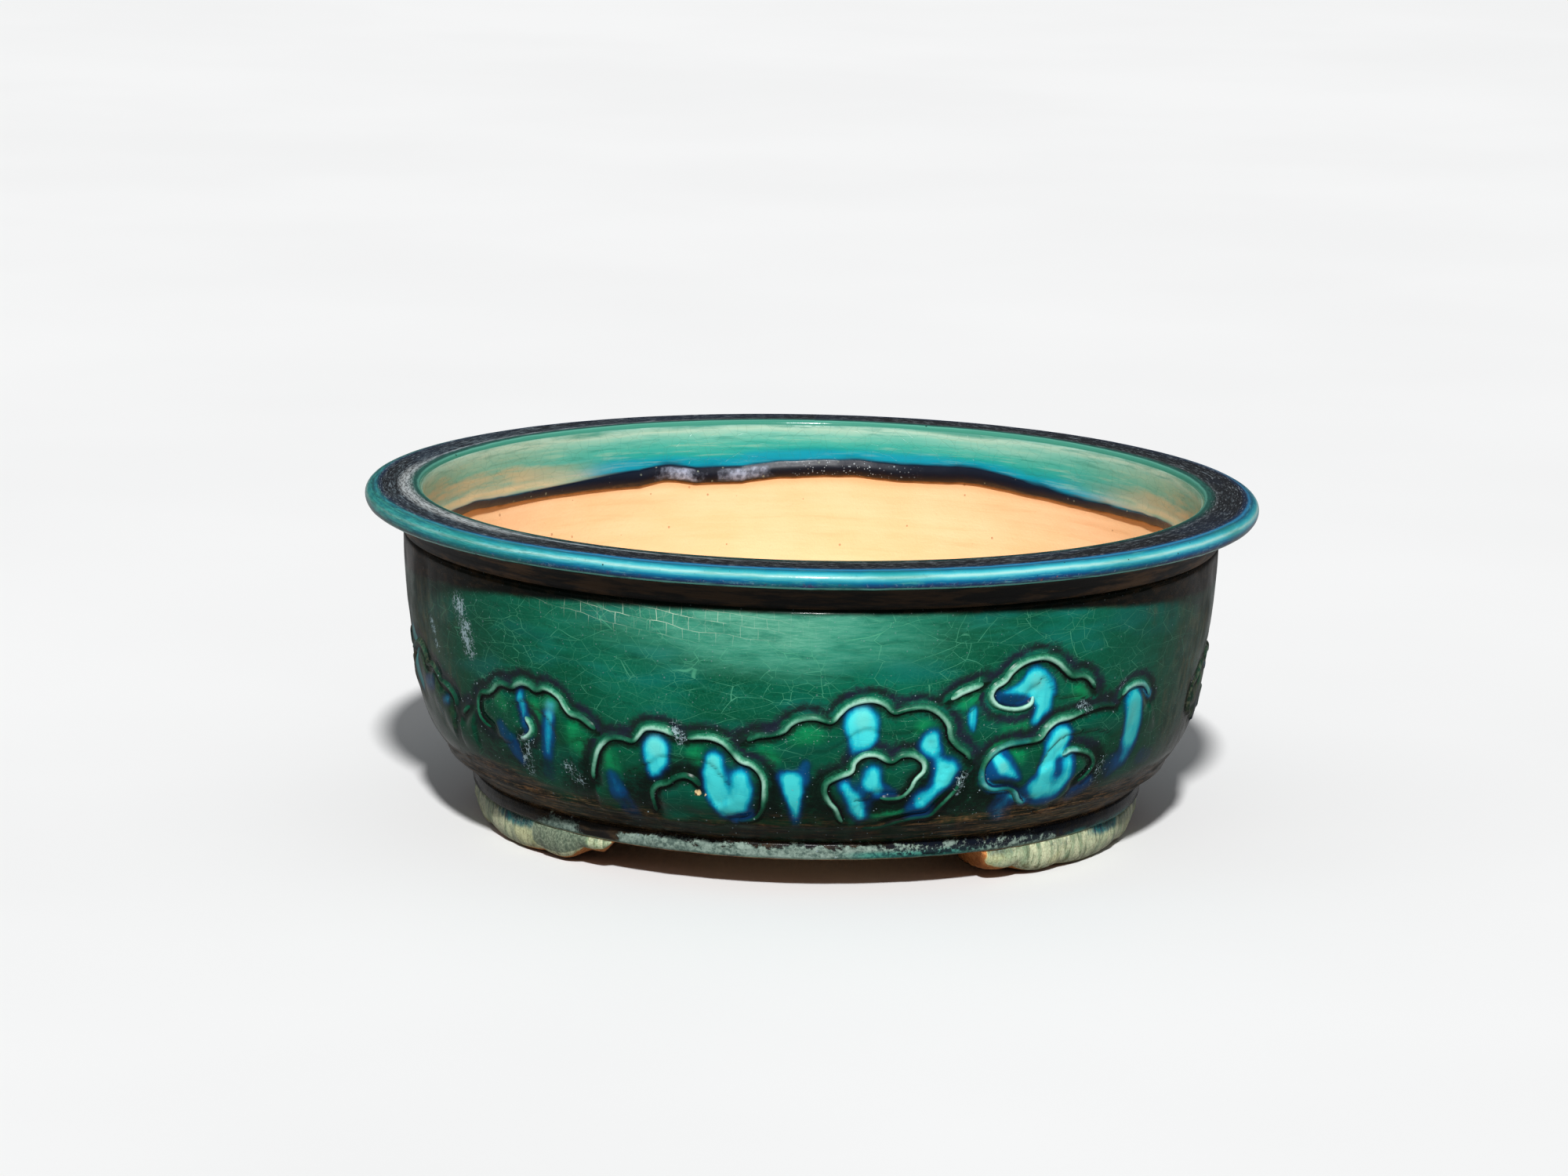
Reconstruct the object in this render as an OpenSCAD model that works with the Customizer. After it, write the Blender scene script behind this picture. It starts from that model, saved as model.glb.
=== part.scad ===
// Round glazed bonsai pot on three feet.
// Origin: centre of the circle the pot stands on, at table height. +Z is up,
// -Y is the front. Clay pieces are luted together along the faces modelled here.

/* [Pot] */
// Outer diameter of the rim
rim_d = 300; // [280:1:320]
// Height from the table to the top of the rim
pot_h = 113; // [110:1:120]

/* [Rim] */
// Width of the flat top of the rim, from the mouth to the outer edge
rim_w = 18.75; // [17:0.25:22]
// Radius of the rolled bead on the outer edge
bead_r = 3.1; // [2.5:0.1:3.5]

/* [Glaze inside the mouth] */
// How far the glaze reaches down inside
glaze_depth = 22; // [16:1:26]
// Thickness of the glaze coat
glaze_t = 0.8; // [0.5:0.1:1.2]

/* [Floor] */
// Thickness of the floor slab
floor_t = 7.5; // [6:0.5:9]
// Radius of the central drain hole
drain_r = 15; // [10:1:20]
// Radius of each of the four tie-wire holes
wire_r = 3; // [2.5:0.5:5]
// Distance of the tie-wire holes from the centre
wire_pcr = 62; // [45:1:75]

/* [Feet] */
// Height of the feet below the base ring
foot_h = 11; // [9:1:13]
// Distance from a foot's middle to its end lobes, less 12 mm
foot_half = 31; // [29:1:33]
// Angle of the front right foot from the front
foot_turn = 59; // [50:1:70]

/* [Cloud lines] */
// Width of a raised line where it meets the wall
line_w = 2.8; // [2:0.1:3.2]
// Height of a raised line above the wall
line_h = 1.2; // [0.8:0.1:1.6]

/* [Hidden] */
$fn = 96;

rim_r = rim_d/2;
mouth_r = rim_r - rim_w;             // mouth at the top of the rim
neck_z = pot_h - 15;                 // where the rim is luted to the wall
ring_z0 = foot_h;                    // underside of the base ring
ring_z1 = foot_h + 6;                // top of the base ring
slab_z0 = foot_h + 3;                // underside of the floor slab
slab_z1 = slab_z0 + floor_t;         // inside floor level
slab_r = mouth_r - 23.25;            // outer edge of the floor slab
ring_r = rim_r - 35.5;               // outer face of the base ring

// Outside of the wall: [height from the base ring's top, inset from the rim]
WALL_OUT = [[0, 36], [3, 32.6], [6, 30.1], [9, 27.9], [12, 25.7], [15, 23.6],
            [21, 20.7], [27, 18.9], [36, 17.4], [48, 15.8], [60, 14.2],
            [72, 13.3], [81, 13]];
// Inside of the wall, the same way
WALL_IN = [[4.5, 42], [8, 37], [14, 31.5], [21, 27.7], [28, 25.7], [36, 24],
           [48, 22.2], [60, 20.7], [72, 19.7], [81, 19.5]];
k_up = (neck_z - ring_z1)/81;
function out_r(z) = rim_r - lookup((z - ring_z1)/k_up, WALL_OUT);
function in_r(z) = rim_r - lookup((z - ring_z1)/k_up, WALL_IN);

green = [0.07, 0.42, 0.33];
dark = [0.05, 0.10, 0.13];
brown = [0.13, 0.11, 0.09];
clay = [0.86, 0.66, 0.45];
pale = [0.66, 0.70, 0.52];
teal = [0.25, 0.66, 0.62];
crest = [0.60, 0.82, 0.68];

// Point on the wall: angle t from the front towards +X, radius, height
function spot(t, r, z) = [r*sin(t), -r*cos(t), z];

// ---------------------------------------------------------------- main bodies

// Everted rim: flat top, rolled bead at the edge, coved underside
module rim_flange() color(dark) union() {
  rotate_extrude() polygon([
    [mouth_r - 0.75, neck_z], [mouth_r - 0.05, neck_z + 6],
    [mouth_r, pot_h - 1.5], [mouth_r + 0.45, pot_h - 0.45],
    [mouth_r + 1.5, pot_h], [rim_r - 4.5, pot_h],
    [rim_r - bead_r, pot_h - 0.4], [rim_r - bead_r, pot_h - 0.4 - 2*bead_r],
    [rim_r - 5.4, pot_h - 5.7], [rim_r - 7.8, pot_h - 6.1],
    [rim_r - 9.8, pot_h - 7.2], [rim_r - 11.4, pot_h - 9.2],
    [rim_r - 12.5, pot_h - 12], [rim_r - 13, neck_z]]);
  rotate_extrude() translate([rim_r - bead_r, pot_h - 0.4 - bead_r])
    circle(r = bead_r);
}

// Body wall, from the base ring up to the rim
module wall_shell() color(green) rotate_extrude() polygon(concat(
  [for (p = WALL_OUT) [rim_r - p[1], ring_z1 + k_up*p[0]]],
  [for (i = [len(WALL_IN) - 1 : -1 : 0])
     [rim_r - WALL_IN[i][1], ring_z1 + (i == 0 ? slab_z1 - ring_z1 : k_up*WALL_IN[i][0])]],
  [[slab_r, ring_z1]]));

// Floor disc with the drain hole and the tie-wire holes
module floor_slab() color(clay) difference() {
  translate([0, 0, slab_z0]) cylinder(r = slab_r, h = floor_t);
  translate([0, 0, slab_z0 - 1]) cylinder(r = drain_r, h = floor_t + 2);
  for (a = [45 : 90 : 315]) rotate([0, 0, a])
    translate([wire_pcr, 0, slab_z0 - 1]) cylinder(r = wire_r, h = floor_t + 2);
}

// Low ring under the wall, with a ledge that the floor sits on
module base_ring() color(brown) rotate_extrude() polygon([
  [slab_r - 12, ring_z0], [ring_r - 1, ring_z0], [ring_r, ring_z0 + 1],
  [ring_r, ring_z1 - 0.8], [ring_r - 0.8, ring_z1], [slab_r, ring_z1],
  [slab_r, slab_z0], [slab_r - 12, slab_z0]]);

// Foot: a block that follows the ring, cut underneath as a cloud bracket with
// a wide middle lobe, two side lobes and two small end lobes
module foot_outline() {
  translate([0, 119.8]) circle(r = 120);
  for (s = [-1, 1]) {
    translate([s*26, 25.6]) circle(r = 25);
    translate([s*(foot_half + 12), 17.2]) circle(r = 14);
  }
}
module foot(t) color(pale) rotate([0, 0, t - 90]) intersection() {
  rotate([0, 0, -40]) rotate_extrude(angle = 80) polygon([
    [slab_r - 17, 0], [ring_r - 7.5, 0], [ring_r - 4.2, 1.4],
    [ring_r - 2.1, 4.5], [ring_r - 1.2, 8], [ring_r - 1.1, ring_z0],
    [slab_r - 11, ring_z0], [slab_r - 15.5, 4]]);
  rotate([90, 0, 90]) translate([0, 0, 60]) linear_extrude(height = 70)
    foot_outline();
}
module foot_front_left() foot(foot_turn - 120);
module foot_front_right() foot(foot_turn);
module foot_back() foot(foot_turn + 120);

// Glaze coat inside the mouth, ending in a thick rolled edge
module glaze_inner_band() color(teal) rotate_extrude() polygon([
  [mouth_r, pot_h - 1.5], [mouth_r - 0.05, neck_z + 6], [in_r(neck_z), neck_z],
  [in_r(pot_h - glaze_depth), pot_h - glaze_depth],
  [in_r(neck_z) - 1.3, pot_h - glaze_depth + 0.2],
  [in_r(neck_z) - 2.1, pot_h - glaze_depth + 1.4],
  [in_r(neck_z) - 2.1, pot_h - glaze_depth + 3],
  [in_r(neck_z) - 1.4, pot_h - glaze_depth + 4.4],
  [in_r(neck_z) - glaze_t, pot_h - glaze_depth + 6],
  [mouth_r - 0.05 - glaze_t, neck_z + 6], [mouth_r - glaze_t, pot_h - 2.5]]);

// ---------------------------------------------------------------- cloud lines
// Each stroke is a raised line trailed on the wall, given by hand as
// [angle from the front, depth below the rim].
A1 = [[-80,54], [-78,51.5], [-76,50], [-74,48.5], [-72.5,49], [-71,51], [-70,54],
      [-68,53.5], [-66,55.5], [-65,57.5], [-63,58], [-61,59.5], [-60,62], [-60.5,65]];
A2 = [[-58.5,66], [-57.5,64], [-56,62]];
B1 = [[-51,67.5], [-52.5,66], [-53.5,64], [-53.8,61], [-53.4,58], [-52.6,56],
      [-50.8,55], [-49.8,53.5], [-48.8,51.6], [-47.5,50.8], [-45.5,51],
      [-44.5,49.8], [-43.2,48.7], [-41.8,48.9], [-40.5,50], [-39,49],
      [-37.5,49.6], [-36.2,51.5], [-35.5,54], [-34.6,56], [-33,56.6],
      [-31.7,58.3], [-30.4,60.3]];
B2 = [[-43.4,60.2], [-42.3,62], [-42,64], [-42.5,66], [-43.5,67.5], [-44.8,68.5]];
C1 = [[-32,78], [-31.8,75], [-31.3,71.5], [-30.7,68], [-29.8,64.8], [-28.4,62.3],
      [-26.5,61.7], [-24.7,62.2], [-23.8,60], [-22.9,57.6], [-21.3,56.7],
      [-19.6,57.2], [-18.4,59]];
C2 = [[-16.8,59.5], [-15,58.5], [-13,58.4], [-11.3,60], [-10.2,62.5], [-9,65.4],
      [-7.5,66.7], [-6.4,69], [-5.8,72], [-5.8,76], [-6,80], [-6.4,83.5],
      [-7.6,86.5], [-10.5,88]];
C3 = [[-22.9,87], [-22.8,83], [-22.5,79], [-21.5,76.4], [-19.9,75.2], [-18.7,73.3],
      [-17.2,72.2], [-15.8,73.2], [-14.9,75.8]];
D1 = [[-8.4,58.8], [-6.8,57.1], [-4.8,56.4], [-3.2,55], [-2.3,52.7], [-0.8,50.8],
      [1.2,50.4], [3.3,51.6], [4.2,49.2], [5.4,46.4], [7.2,44.7], [9.2,44.5],
      [10.6,45.9], [11.9,48.5], [13.6,47.5], [15.6,47], [17.4,48.2], [18.9,51],
      [19.8,54], [20.2,57.8], [21.4,61], [22.8,63.6], [23.5,66.3]];
D2 = [[22.3,72.5], [21.9,75.5], [20.8,79], [19.8,82], [18.8,85], [16,86],
      [13.6,87.2], [11,89], [8,89]];
D3 = [[5.6,87.4], [4.9,84.8], [4.3,81.8], [3.2,78.8], [2.6,75.5], [2.9,72.2],
      [4.6,69.9], [6.2,68.2], [6.6,65.4], [7.8,63], [9.6,62.6], [11.8,64.8],
      [13.2,63], [15,63.2], [16.4,65.6], [16.6,68.6], [15.5,71.8], [14.9,75],
      [13.6,77.9], [10.4,78]];
E1 = [[19.5,45.3], [21,43], [22.7,41.5], [24.5,40.3]];
E2 = [[32.4,46], [32,48.8], [30.2,50.2], [28,49.6], [26.3,47.8], [25.5,44.8],
      [26,42], [27.4,40], [28.3,37.3], [29.6,35], [31.6,33.6], [33.8,33.6],
      [35.8,35.6], [37.2,38.2], [38.6,40.7], [40.6,41.3], [42.2,43.4], [43.5,47]];
F1 = [[34.4,84.2], [32.8,82.3], [31.6,79.2], [30.2,77.4], [27.6,77], [26,75],
      [25.4,72], [25.5,68], [26.8,64], [29,61.8], [31.6,61.3], [34.2,60.6],
      [35.1,57.8], [36.8,55.5], [39.4,54.8], [42,53.6], [45,52.8], [48.4,53.8]];
F2 = [[38.5,68], [40,66.4], [42.4,67.4], [44.4,69.4], [45.4,72.5], [44.8,76], [43.2,79]];
G1 = [[49.2,51.4], [50.4,49], [52.2,48.1], [54.2,48.8], [55.6,51], [56.4,54]];

// A point d across the stroke and h above the wall, at point i of stroke s
function run(s, i) = let (a = s[max(i - 1, 0)], b = s[min(i + 1, len(s) - 1)],
    u = [(b[0] - a[0])*out_r(pot_h - s[i][1])*PI/180, a[1] - b[1]]) u/norm(u);
function rib(s, i, d, h) = let (u = run(s, i), z = pot_h - s[i][1] + d*u[0],
    t = s[i][0] - d*u[1]*180/PI/out_r(pot_h - s[i][1])) spot(t, out_r(z) + h, z);
function taper(s, i) = (i == 0 || i == len(s) - 1) ? 0.55 : 1;

module stroke(s, turn = 0, drop = 0) {
  p = [for (q = s) [q[0] + turn, q[1] + drop]];
  n = len(p);
  pts = [for (i = [0 : n - 1]) let (k = taper(p, i))
    each [rib(p, i, -line_w/2*k, -0.25), rib(p, i, -line_w/5*k, line_h*k),
          rib(p, i, line_w/5*k, line_h*k), rib(p, i, line_w/2*k, -0.25)]];
  sides = [for (i = [0 : n - 2], j = [0 : 3]) let (a = 4*i + j, b = 4*i + (j + 1)%4)
    each [[a, b, a + 4], [b, b + 4, a + 4]]];
  ends = [[0, 2, 1], [0, 3, 2], [4*n - 4, 4*n - 3, 4*n - 2], [4*n - 4, 4*n - 2, 4*n - 1]];
  polyhedron(points = pts, faces = concat(sides, ends));
}
module cloud(strokes, turn = 0, drop = 0) color(crest)
  for (s = strokes) stroke(s, turn, drop);

module cloud_left_side() cloud([A1, A2]);
module cloud_front_left() cloud([B1, B2]);
module cloud_front_centre_left() cloud([C1, C2, C3]);
module cloud_front_centre() cloud([D1, D2, D3]);
module cloud_front_right_upper() cloud([E1, E2]);
module cloud_front_right_lower() cloud([F1, F2]);
module cloud_front_right_end() cloud([G1]);
module cloud_right_side() cloud([B1, B2], 126, 1);
module cloud_back_right_outer() cloud([C1, C2, C3], 128, -1);
module cloud_back_right() cloud([D1, D2, D3], 131, -1);
module cloud_back_upper() cloud([E1, E2], 133, 2);
module cloud_back_lower() cloud([F1, F2], 133, -1);
module cloud_back_left() cloud([B1, B2], 236, 2);
module cloud_back_left_outer() cloud([C1, C2, C3], 237, -2);
module cloud_left_back() cloud([D1, D2, D3], 240, -1);
module cloud_left_end() cloud([G1], 217, 3);

rim_flange();
wall_shell();
floor_slab();
base_ring();
foot_front_left();
foot_front_right();
foot_back();
glaze_inner_band();
cloud_left_side();
cloud_front_left();
cloud_front_centre_left();
cloud_front_centre();
cloud_front_right_upper();
cloud_front_right_lower();
cloud_front_right_end();
cloud_right_side();
cloud_back_right_outer();
cloud_back_right();
cloud_back_upper();
cloud_back_lower();
cloud_back_left();
cloud_back_left_outer();
cloud_left_back();
cloud_left_end();
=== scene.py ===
# Round glazed bonsai pot: the visual model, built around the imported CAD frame.
import math
import bpy
import numpy as np
from mathutils import Matrix, Vector
from mathutils.kdtree import KDTree


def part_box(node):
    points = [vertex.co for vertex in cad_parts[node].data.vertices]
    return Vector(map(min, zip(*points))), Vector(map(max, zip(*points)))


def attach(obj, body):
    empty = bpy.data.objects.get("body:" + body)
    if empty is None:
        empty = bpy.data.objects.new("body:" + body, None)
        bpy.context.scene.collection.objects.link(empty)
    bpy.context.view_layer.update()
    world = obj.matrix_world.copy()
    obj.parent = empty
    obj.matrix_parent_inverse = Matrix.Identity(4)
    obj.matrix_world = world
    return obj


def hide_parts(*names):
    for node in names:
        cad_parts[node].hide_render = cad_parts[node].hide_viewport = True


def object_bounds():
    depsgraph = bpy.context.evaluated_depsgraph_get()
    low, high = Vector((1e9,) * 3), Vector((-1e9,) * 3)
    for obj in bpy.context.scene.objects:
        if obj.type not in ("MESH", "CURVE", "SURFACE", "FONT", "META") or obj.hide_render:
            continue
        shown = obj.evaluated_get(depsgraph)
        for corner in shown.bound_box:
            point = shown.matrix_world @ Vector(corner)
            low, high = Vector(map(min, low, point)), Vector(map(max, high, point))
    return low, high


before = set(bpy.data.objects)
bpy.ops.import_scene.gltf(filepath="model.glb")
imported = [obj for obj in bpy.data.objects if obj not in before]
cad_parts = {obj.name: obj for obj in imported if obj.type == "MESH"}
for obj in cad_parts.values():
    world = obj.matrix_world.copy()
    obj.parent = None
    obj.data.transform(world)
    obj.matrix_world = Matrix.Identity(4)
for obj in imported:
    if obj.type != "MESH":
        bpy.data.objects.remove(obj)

box_cad = [list(map(float, p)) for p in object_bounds()]
scene = bpy.context.scene
MM = 0.001

# ------------------------------------------------------------------ the form
# Heights are in mm above the table, radii in mm, angles in degrees from the
# front (-Y) towards +X. The rim's top is at RIM_Z.
RIM_Z = box_cad[1][2] * 1000.0
RIM_R = 150.0
RING_Z0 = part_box("base_ring")[0][2] * 1000.0
RING_Z1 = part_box("base_ring")[1][2] * 1000.0
NECK_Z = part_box("wall_shell")[1][2] * 1000.0
SLAB_Z0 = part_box("floor_slab")[0][2] * 1000.0
SLAB_Z1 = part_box("floor_slab")[1][2] * 1000.0
SLAB_R = 108.0
WALL_OUT = [(0, 36), (3, 32.6), (6, 30.1), (9, 27.9), (12, 25.7), (15, 23.6),
            (21, 20.7), (27, 18.9), (36, 17.4), (48, 15.8), (60, 14.2),
            (72, 13.3), (81, 13)]
WALL_IN = [(4.5, 42), (8, 37), (14, 31.5), (21, 27.7), (28, 25.7), (36, 24),
           (48, 22.2), (60, 20.7), (72, 19.7), (81, 19.5)]


def cubic(xs, ys, x):
    """Smooth monotone-ish curve through points (Catmull-Rom slopes)."""
    xs, ys, x = np.asarray(xs, float), np.asarray(ys, float), np.asarray(x, float)
    m = np.gradient(ys, xs)
    i = np.clip(np.searchsorted(xs, x) - 1, 0, len(xs) - 2)
    h = xs[i + 1] - xs[i]
    t = np.clip((x - xs[i]) / h, 0, 1)
    return ((2*t**3 - 3*t**2 + 1)*ys[i] + (t**3 - 2*t**2 + t)*h*m[i]
            + (-2*t**3 + 3*t**2)*ys[i + 1] + (t**3 - t**2)*h*m[i + 1])


def out_r(z):
    return RIM_R - cubic([p[0] for p in WALL_OUT], [p[1] for p in WALL_OUT], z - RING_Z1)


def in_r(z):
    return RIM_R - cubic([p[0] for p in WALL_IN], [p[1] for p in WALL_IN], z - RING_Z1)


def sstep(a, b, x):
    t = np.clip((x - a) / (b - a), 0, 1)
    return t*t*(3 - 2*t)


def spot(t, r, z):
    t = np.radians(t)
    return np.stack(np.broadcast_arrays(r*np.sin(t), -r*np.cos(t), z), -1)


RNG = np.random.default_rng(7)
_LAT = RNG.random((32, 32, 32))


def vnoise(p, scale):
    """Seeded value noise of points p (mm), -1..1, feature size about scale mm."""
    q = np.asarray(p, float) / scale
    i = np.floor(q).astype(int)
    f = q - i
    f = f*f*(3 - 2*f)
    out = 0
    for dx in (0, 1):
        for dy in (0, 1):
            for dz in (0, 1):
                w = ((f[..., 0] if dx else 1 - f[..., 0])
                     * (f[..., 1] if dy else 1 - f[..., 1])
                     * (f[..., 2] if dz else 1 - f[..., 2]))
                out = out + w*_LAT[(i[..., 0] + dx) % 32, (i[..., 1] + dy) % 32,
                                   (i[..., 2] + dz) % 32]
    return 2*out - 1


def fnoise(p, scale, octaves=3, stretch=(1, 1, 1)):
    p = np.asarray(p, float) * np.array(stretch)
    return sum(vnoise(p + 37.7*k, scale / 2**k) / 2**k for k in range(octaves)) / 1.75


# ------------------------------------------------------------------ the frieze
# Raised lines: angle, depth below the rim, how pale the crest is (thin glaze, partly a painted highlight).
A1 = [(-80,54,.2), (-78,51.5,.3), (-76,50,.4), (-74,48.5,.5), (-72.5,49,.5), (-71,51,.4), (-70,54,.1),
      (-68,53.5,.2), (-66,55.5,.2), (-65,57.5,.1), (-63,58,.2), (-61,59.5,.2), (-60,62,.1), (-60.5,65,.0)]
A2 = [(-58.5,66,.2), (-57.5,64,.3), (-56,62,.1)]
B1 = [(-51,67.5,.0), (-52.5,66,.1), (-53.5,64,.15), (-53.8,61,.2), (-53.4,58,.2), (-52.6,56,.1),
      (-50.8,55,.35), (-49.8,53.5,.5), (-48.8,51.6,.5), (-47.5,50.8,.3), (-45.5,51,.2),
      (-44.5,49.8,.6), (-43.2,48.7,.7), (-41.8,48.9,.5), (-40.5,50,.3), (-39,49,.5),
      (-37.5,49.6,.8), (-36.2,51.5,.8), (-35.5,54,.8), (-34.6,56,.6), (-33,56.6,.4),
      (-31.7,58.3,.3), (-30.4,60.3,.1)]
B2 = [(-43.4,60.2,.9), (-42.3,62,.9), (-42,64,.8), (-42.5,66,.9), (-43.5,67.5,1), (-44.8,68.5,.8)]
C1 = [(-32,78,.0), (-31.8,75,.3), (-31.3,71.5,.5), (-30.7,68,.8), (-29.8,64.8,.8), (-28.4,62.3,.4),
      (-26.5,61.7,.2), (-24.7,62.2,.2), (-23.8,60,.8), (-22.9,57.6,1), (-21.3,56.7,1),
      (-19.6,57.2,.8), (-18.4,59,.4)]
C2 = [(-16.8,59.5,.2), (-15,58.5,.7), (-13,58.4,.8), (-11.3,60,.7), (-10.2,62.5,.4), (-9,65.4,.9),
      (-7.5,66.7,.7), (-6.4,69,.6), (-5.8,72,.8), (-5.8,76,.7), (-6,80,.3), (-6.4,83.5,.1),
      (-7.6,86.5,.1), (-10.5,88,.0)]
C3 = [(-22.9,87,.0), (-22.8,83,.1), (-22.5,79,.3), (-21.5,76.4,.4), (-19.9,75.2,.3), (-18.7,73.3,.2),
      (-17.2,72.2,.2), (-15.8,73.2,.2), (-14.9,75.8,.1)]
D1 = [(-8.4,58.8,.2), (-6.8,57.1,.3), (-4.8,56.4,.1), (-3.2,55,.4), (-2.3,52.7,.6), (-0.8,50.8,.6),
      (1.2,50.4,.4), (3.3,51.6,.3), (4.2,49.2,1), (5.4,46.4,1), (7.2,44.7,1), (9.2,44.5,.9),
      (10.6,45.9,.6), (11.9,48.5,.2), (13.6,47.5,.3), (15.6,47,.5), (17.4,48.2,.5), (18.9,51,.5),
      (19.8,54,.6), (20.2,57.8,.4), (21.4,61,.4), (22.8,63.6,.4), (23.5,66.3,.1)]
D2 = [(22.3,72.5,.1), (21.9,75.5,.2), (20.8,79,.2), (19.8,82,.1), (18.8,85,.1), (16,86,.1),
      (13.6,87.2,.1), (11,89,.1), (8,89,.0)]
D3 = [(5.6,87.4,.3), (4.9,84.8,.5), (4.3,81.8,.6), (3.2,78.8,.6), (2.6,75.5,.3), (2.9,72.2,.4),
      (4.6,69.9,.6), (6.2,68.2,.9), (6.6,65.4,1), (7.8,63,1), (9.6,62.6,1), (11.8,64.8,.3),
      (13.2,63,.4), (15,63.2,.6), (16.4,65.6,.8), (16.6,68.6,.9), (15.5,71.8,.8), (14.9,75,.5),
      (13.6,77.9,.3), (10.4,78,.2)]
E1 = [(19.5,45.3,.8), (21,43,1), (22.7,41.5,.9), (24.5,40.3,.3)]
E2 = [(32.4,46,.7), (32,48.8,1), (30.2,50.2,.8), (28,49.6,.8), (26.3,47.8,1), (25.5,44.8,1),
      (26,42,.9), (27.4,40,.9), (28.3,37.3,.8), (29.6,35,.8), (31.6,33.6,.8), (33.8,33.6,.7),
      (35.8,35.6,.8), (37.2,38.2,.5), (38.6,40.7,.3), (40.6,41.3,.4), (42.2,43.4,.5), (43.5,47,.1)]
F1 = [(34.4,84.2,.2), (32.8,82.3,.5), (31.6,79.2,.5), (30.2,77.4,.1), (27.6,77,.3), (26,75,.6),
      (25.4,72,.4), (25.5,68,.3), (26.8,64,.5), (29,61.8,.4), (31.6,61.3,.2), (34.2,60.6,.4),
      (35.1,57.8,.8), (36.8,55.5,.9), (39.4,54.8,.6), (42,53.6,.1), (45,52.8,.03), (48.4,53.8,.05)]
F2 = [(38.5,68,.7), (40,66.4,.9), (42.4,67.4,.4), (44.4,69.4,.2), (45.4,72.5,.1), (44.8,76,.1), (43.2,79,.0)]
G1 = [(49.2,51.4,.4), (50.4,49,.7), (52.2,48.1,.7), (54.2,48.8,.6), (55.6,51,.5), (56.4,54,.3)]

# Glaze splashes: points (angle, depth, radius in mm), turquoise, blue, pale (a painted highlight on the splash's top).
SA = [([(-78.6,49,5.2), (-77.4,56,5.6), (-76,63,4)], 1, .3, .6), ([(-71,61,1.8), (-68.5,60,2)], .5, .9, 0),
      ([(-64,64,1.7), (-62.8,62.8,1.8)], .6, .6, 0)]
SB = [([(-43.7,53.6,2.3), (-43.6,57,1.9), (-43.7,60.4,1.2)], .72, .7, .1), ([(-43,62,1.2), (-43.0,66,1.4)], .25, .8, 0),
      ([(-38.1,54.8,2.9), (-38.3,58,2.4)], .45, .15, .45), ([(-38.5,58.6,2.2), (-39,65,2.4), (-39.5,70.5,2.0)], .72, .8, 0),
      ([(-39.7,73.5,1.5), (-40.4,79,1.9)], .22, .5, 0), ([(-48.2,65,1.6), (-47.2,69,2.5), (-46.2,73,2.2), (-45.4,76,1.4)], .34, .75, 0)]
SC = [([(-21.2,64.1,4.9), (-21.3,67.2,4.5), (-21.7,70.8,2.9), (-22.1,73,1.2)], 1, .6, 0), ([(-21.2,62.4,3), (-21.1,63.6,3)], 0, 0, 1),
      ([(-12.8,66.2,3.5), (-12.9,71,4.4), (-12.6,76,4.7), (-12,82,3.4), (-12,84.6,1.8)], 1, .6, 0), ([(-12.9,65.6,1.2), (-12.9,67.5,1.2)], 0, 0, .6),
      ([(-9.2,71.6,3.7), (-9.0,75.5,4.3), (-9.9,80.5,4.5), (-10.9,83.2,3)], 1, .6, 0), ([(-8.6,84.2,1.4), (-10.5,86.6,1.2)], 0, .8, 0),
      ([(-28.4,75,1.6), (-28.2,79.5,2.3)], .42, .75, 0), ([(-28,83,2.6), (-27.2,88.5,2.9)], .2, .6, 0)]
SD = [([(7.4,52.6,6.2), (7.7,56,5.6)], 1, .5, 0), ([(7.4,49.8,3.4), (7.5,51.2,3.6)], 0, 0, 1), ([(6.8,60.4,2.3), (6.4,62,1.6)], .5, .5, 0),
      ([(17.4,57.3,3.1), (17.2,59.8,3.8)], 1, .75, 0), ([(17.3,59.3,1.2), (17.3,59.8,1.2)], 0, 0, .5),
      ([(17.9,62.8,2.2), (18.8,66,2.0)], .6, .6, 0), ([(19.9,69,4.4), (19.6,71.6,4.0)], 1, .75, .1),
      ([(18.4,75.6,2.2), (16.8,79.2,3.5)], .88, .7, 0), ([(15.6,82.6,2), (17.6,83,2)], 0, .7, 0),
      ([(9.2,68.8,3.2), (9.1,72,3.7), (10,74.6,2.6)], 1, .6, 0), ([(10.6,75,1.5), (12.4,75.7,.9)], .1, .85, 0),
      ([(5.6,73.6,2.2), (6.7,77,3.2), (7.6,81,3.5), (8.1,84.4,2.4)], .97, .7, 0),
      ([(-1.9,71.9,4.1), (-1.7,75.4,3.7), (-1.5,80,2.4), (-1.4,84.5,1.3)], 1, .5, 0), ([(-3.4,70.4,.7), (-2.4,71.6,1.5)], .3, .7, 0),
      ([(-.1,66.3,1), (-.4,71,1.5)], .15, .75, 0), ([(-1.4,84.5,1.1), (-1.3,89,1)], .25, .5, 0), ([(17,88.5,2.2), (20,90.5,2.2)], 0, .3, 0)]
SE = [([(32.4,41.4,5.3), (33.2,43.4,5.4)], 1, .5, 0), ([(31.5,42.4,3.9), (29.6,43.2,2.7), (27.4,44.2,1)], 1, .3, 0),
      ([(34.1,46.5,4.3), (34.3,50,3.6), (33.1,54.4,2.2)], .95, .5, 0), ([(32.2,40.9,2.8), (32.9,42.4,3)], 0, 0, .8),
      ([(27.3,45.6,1.3), (31,48,1.4)], 0, .8, 0), ([(23,49.4,1.9), (23.1,53,1.8), (23.3,56,.9)], .85, .5, 0)]
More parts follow.
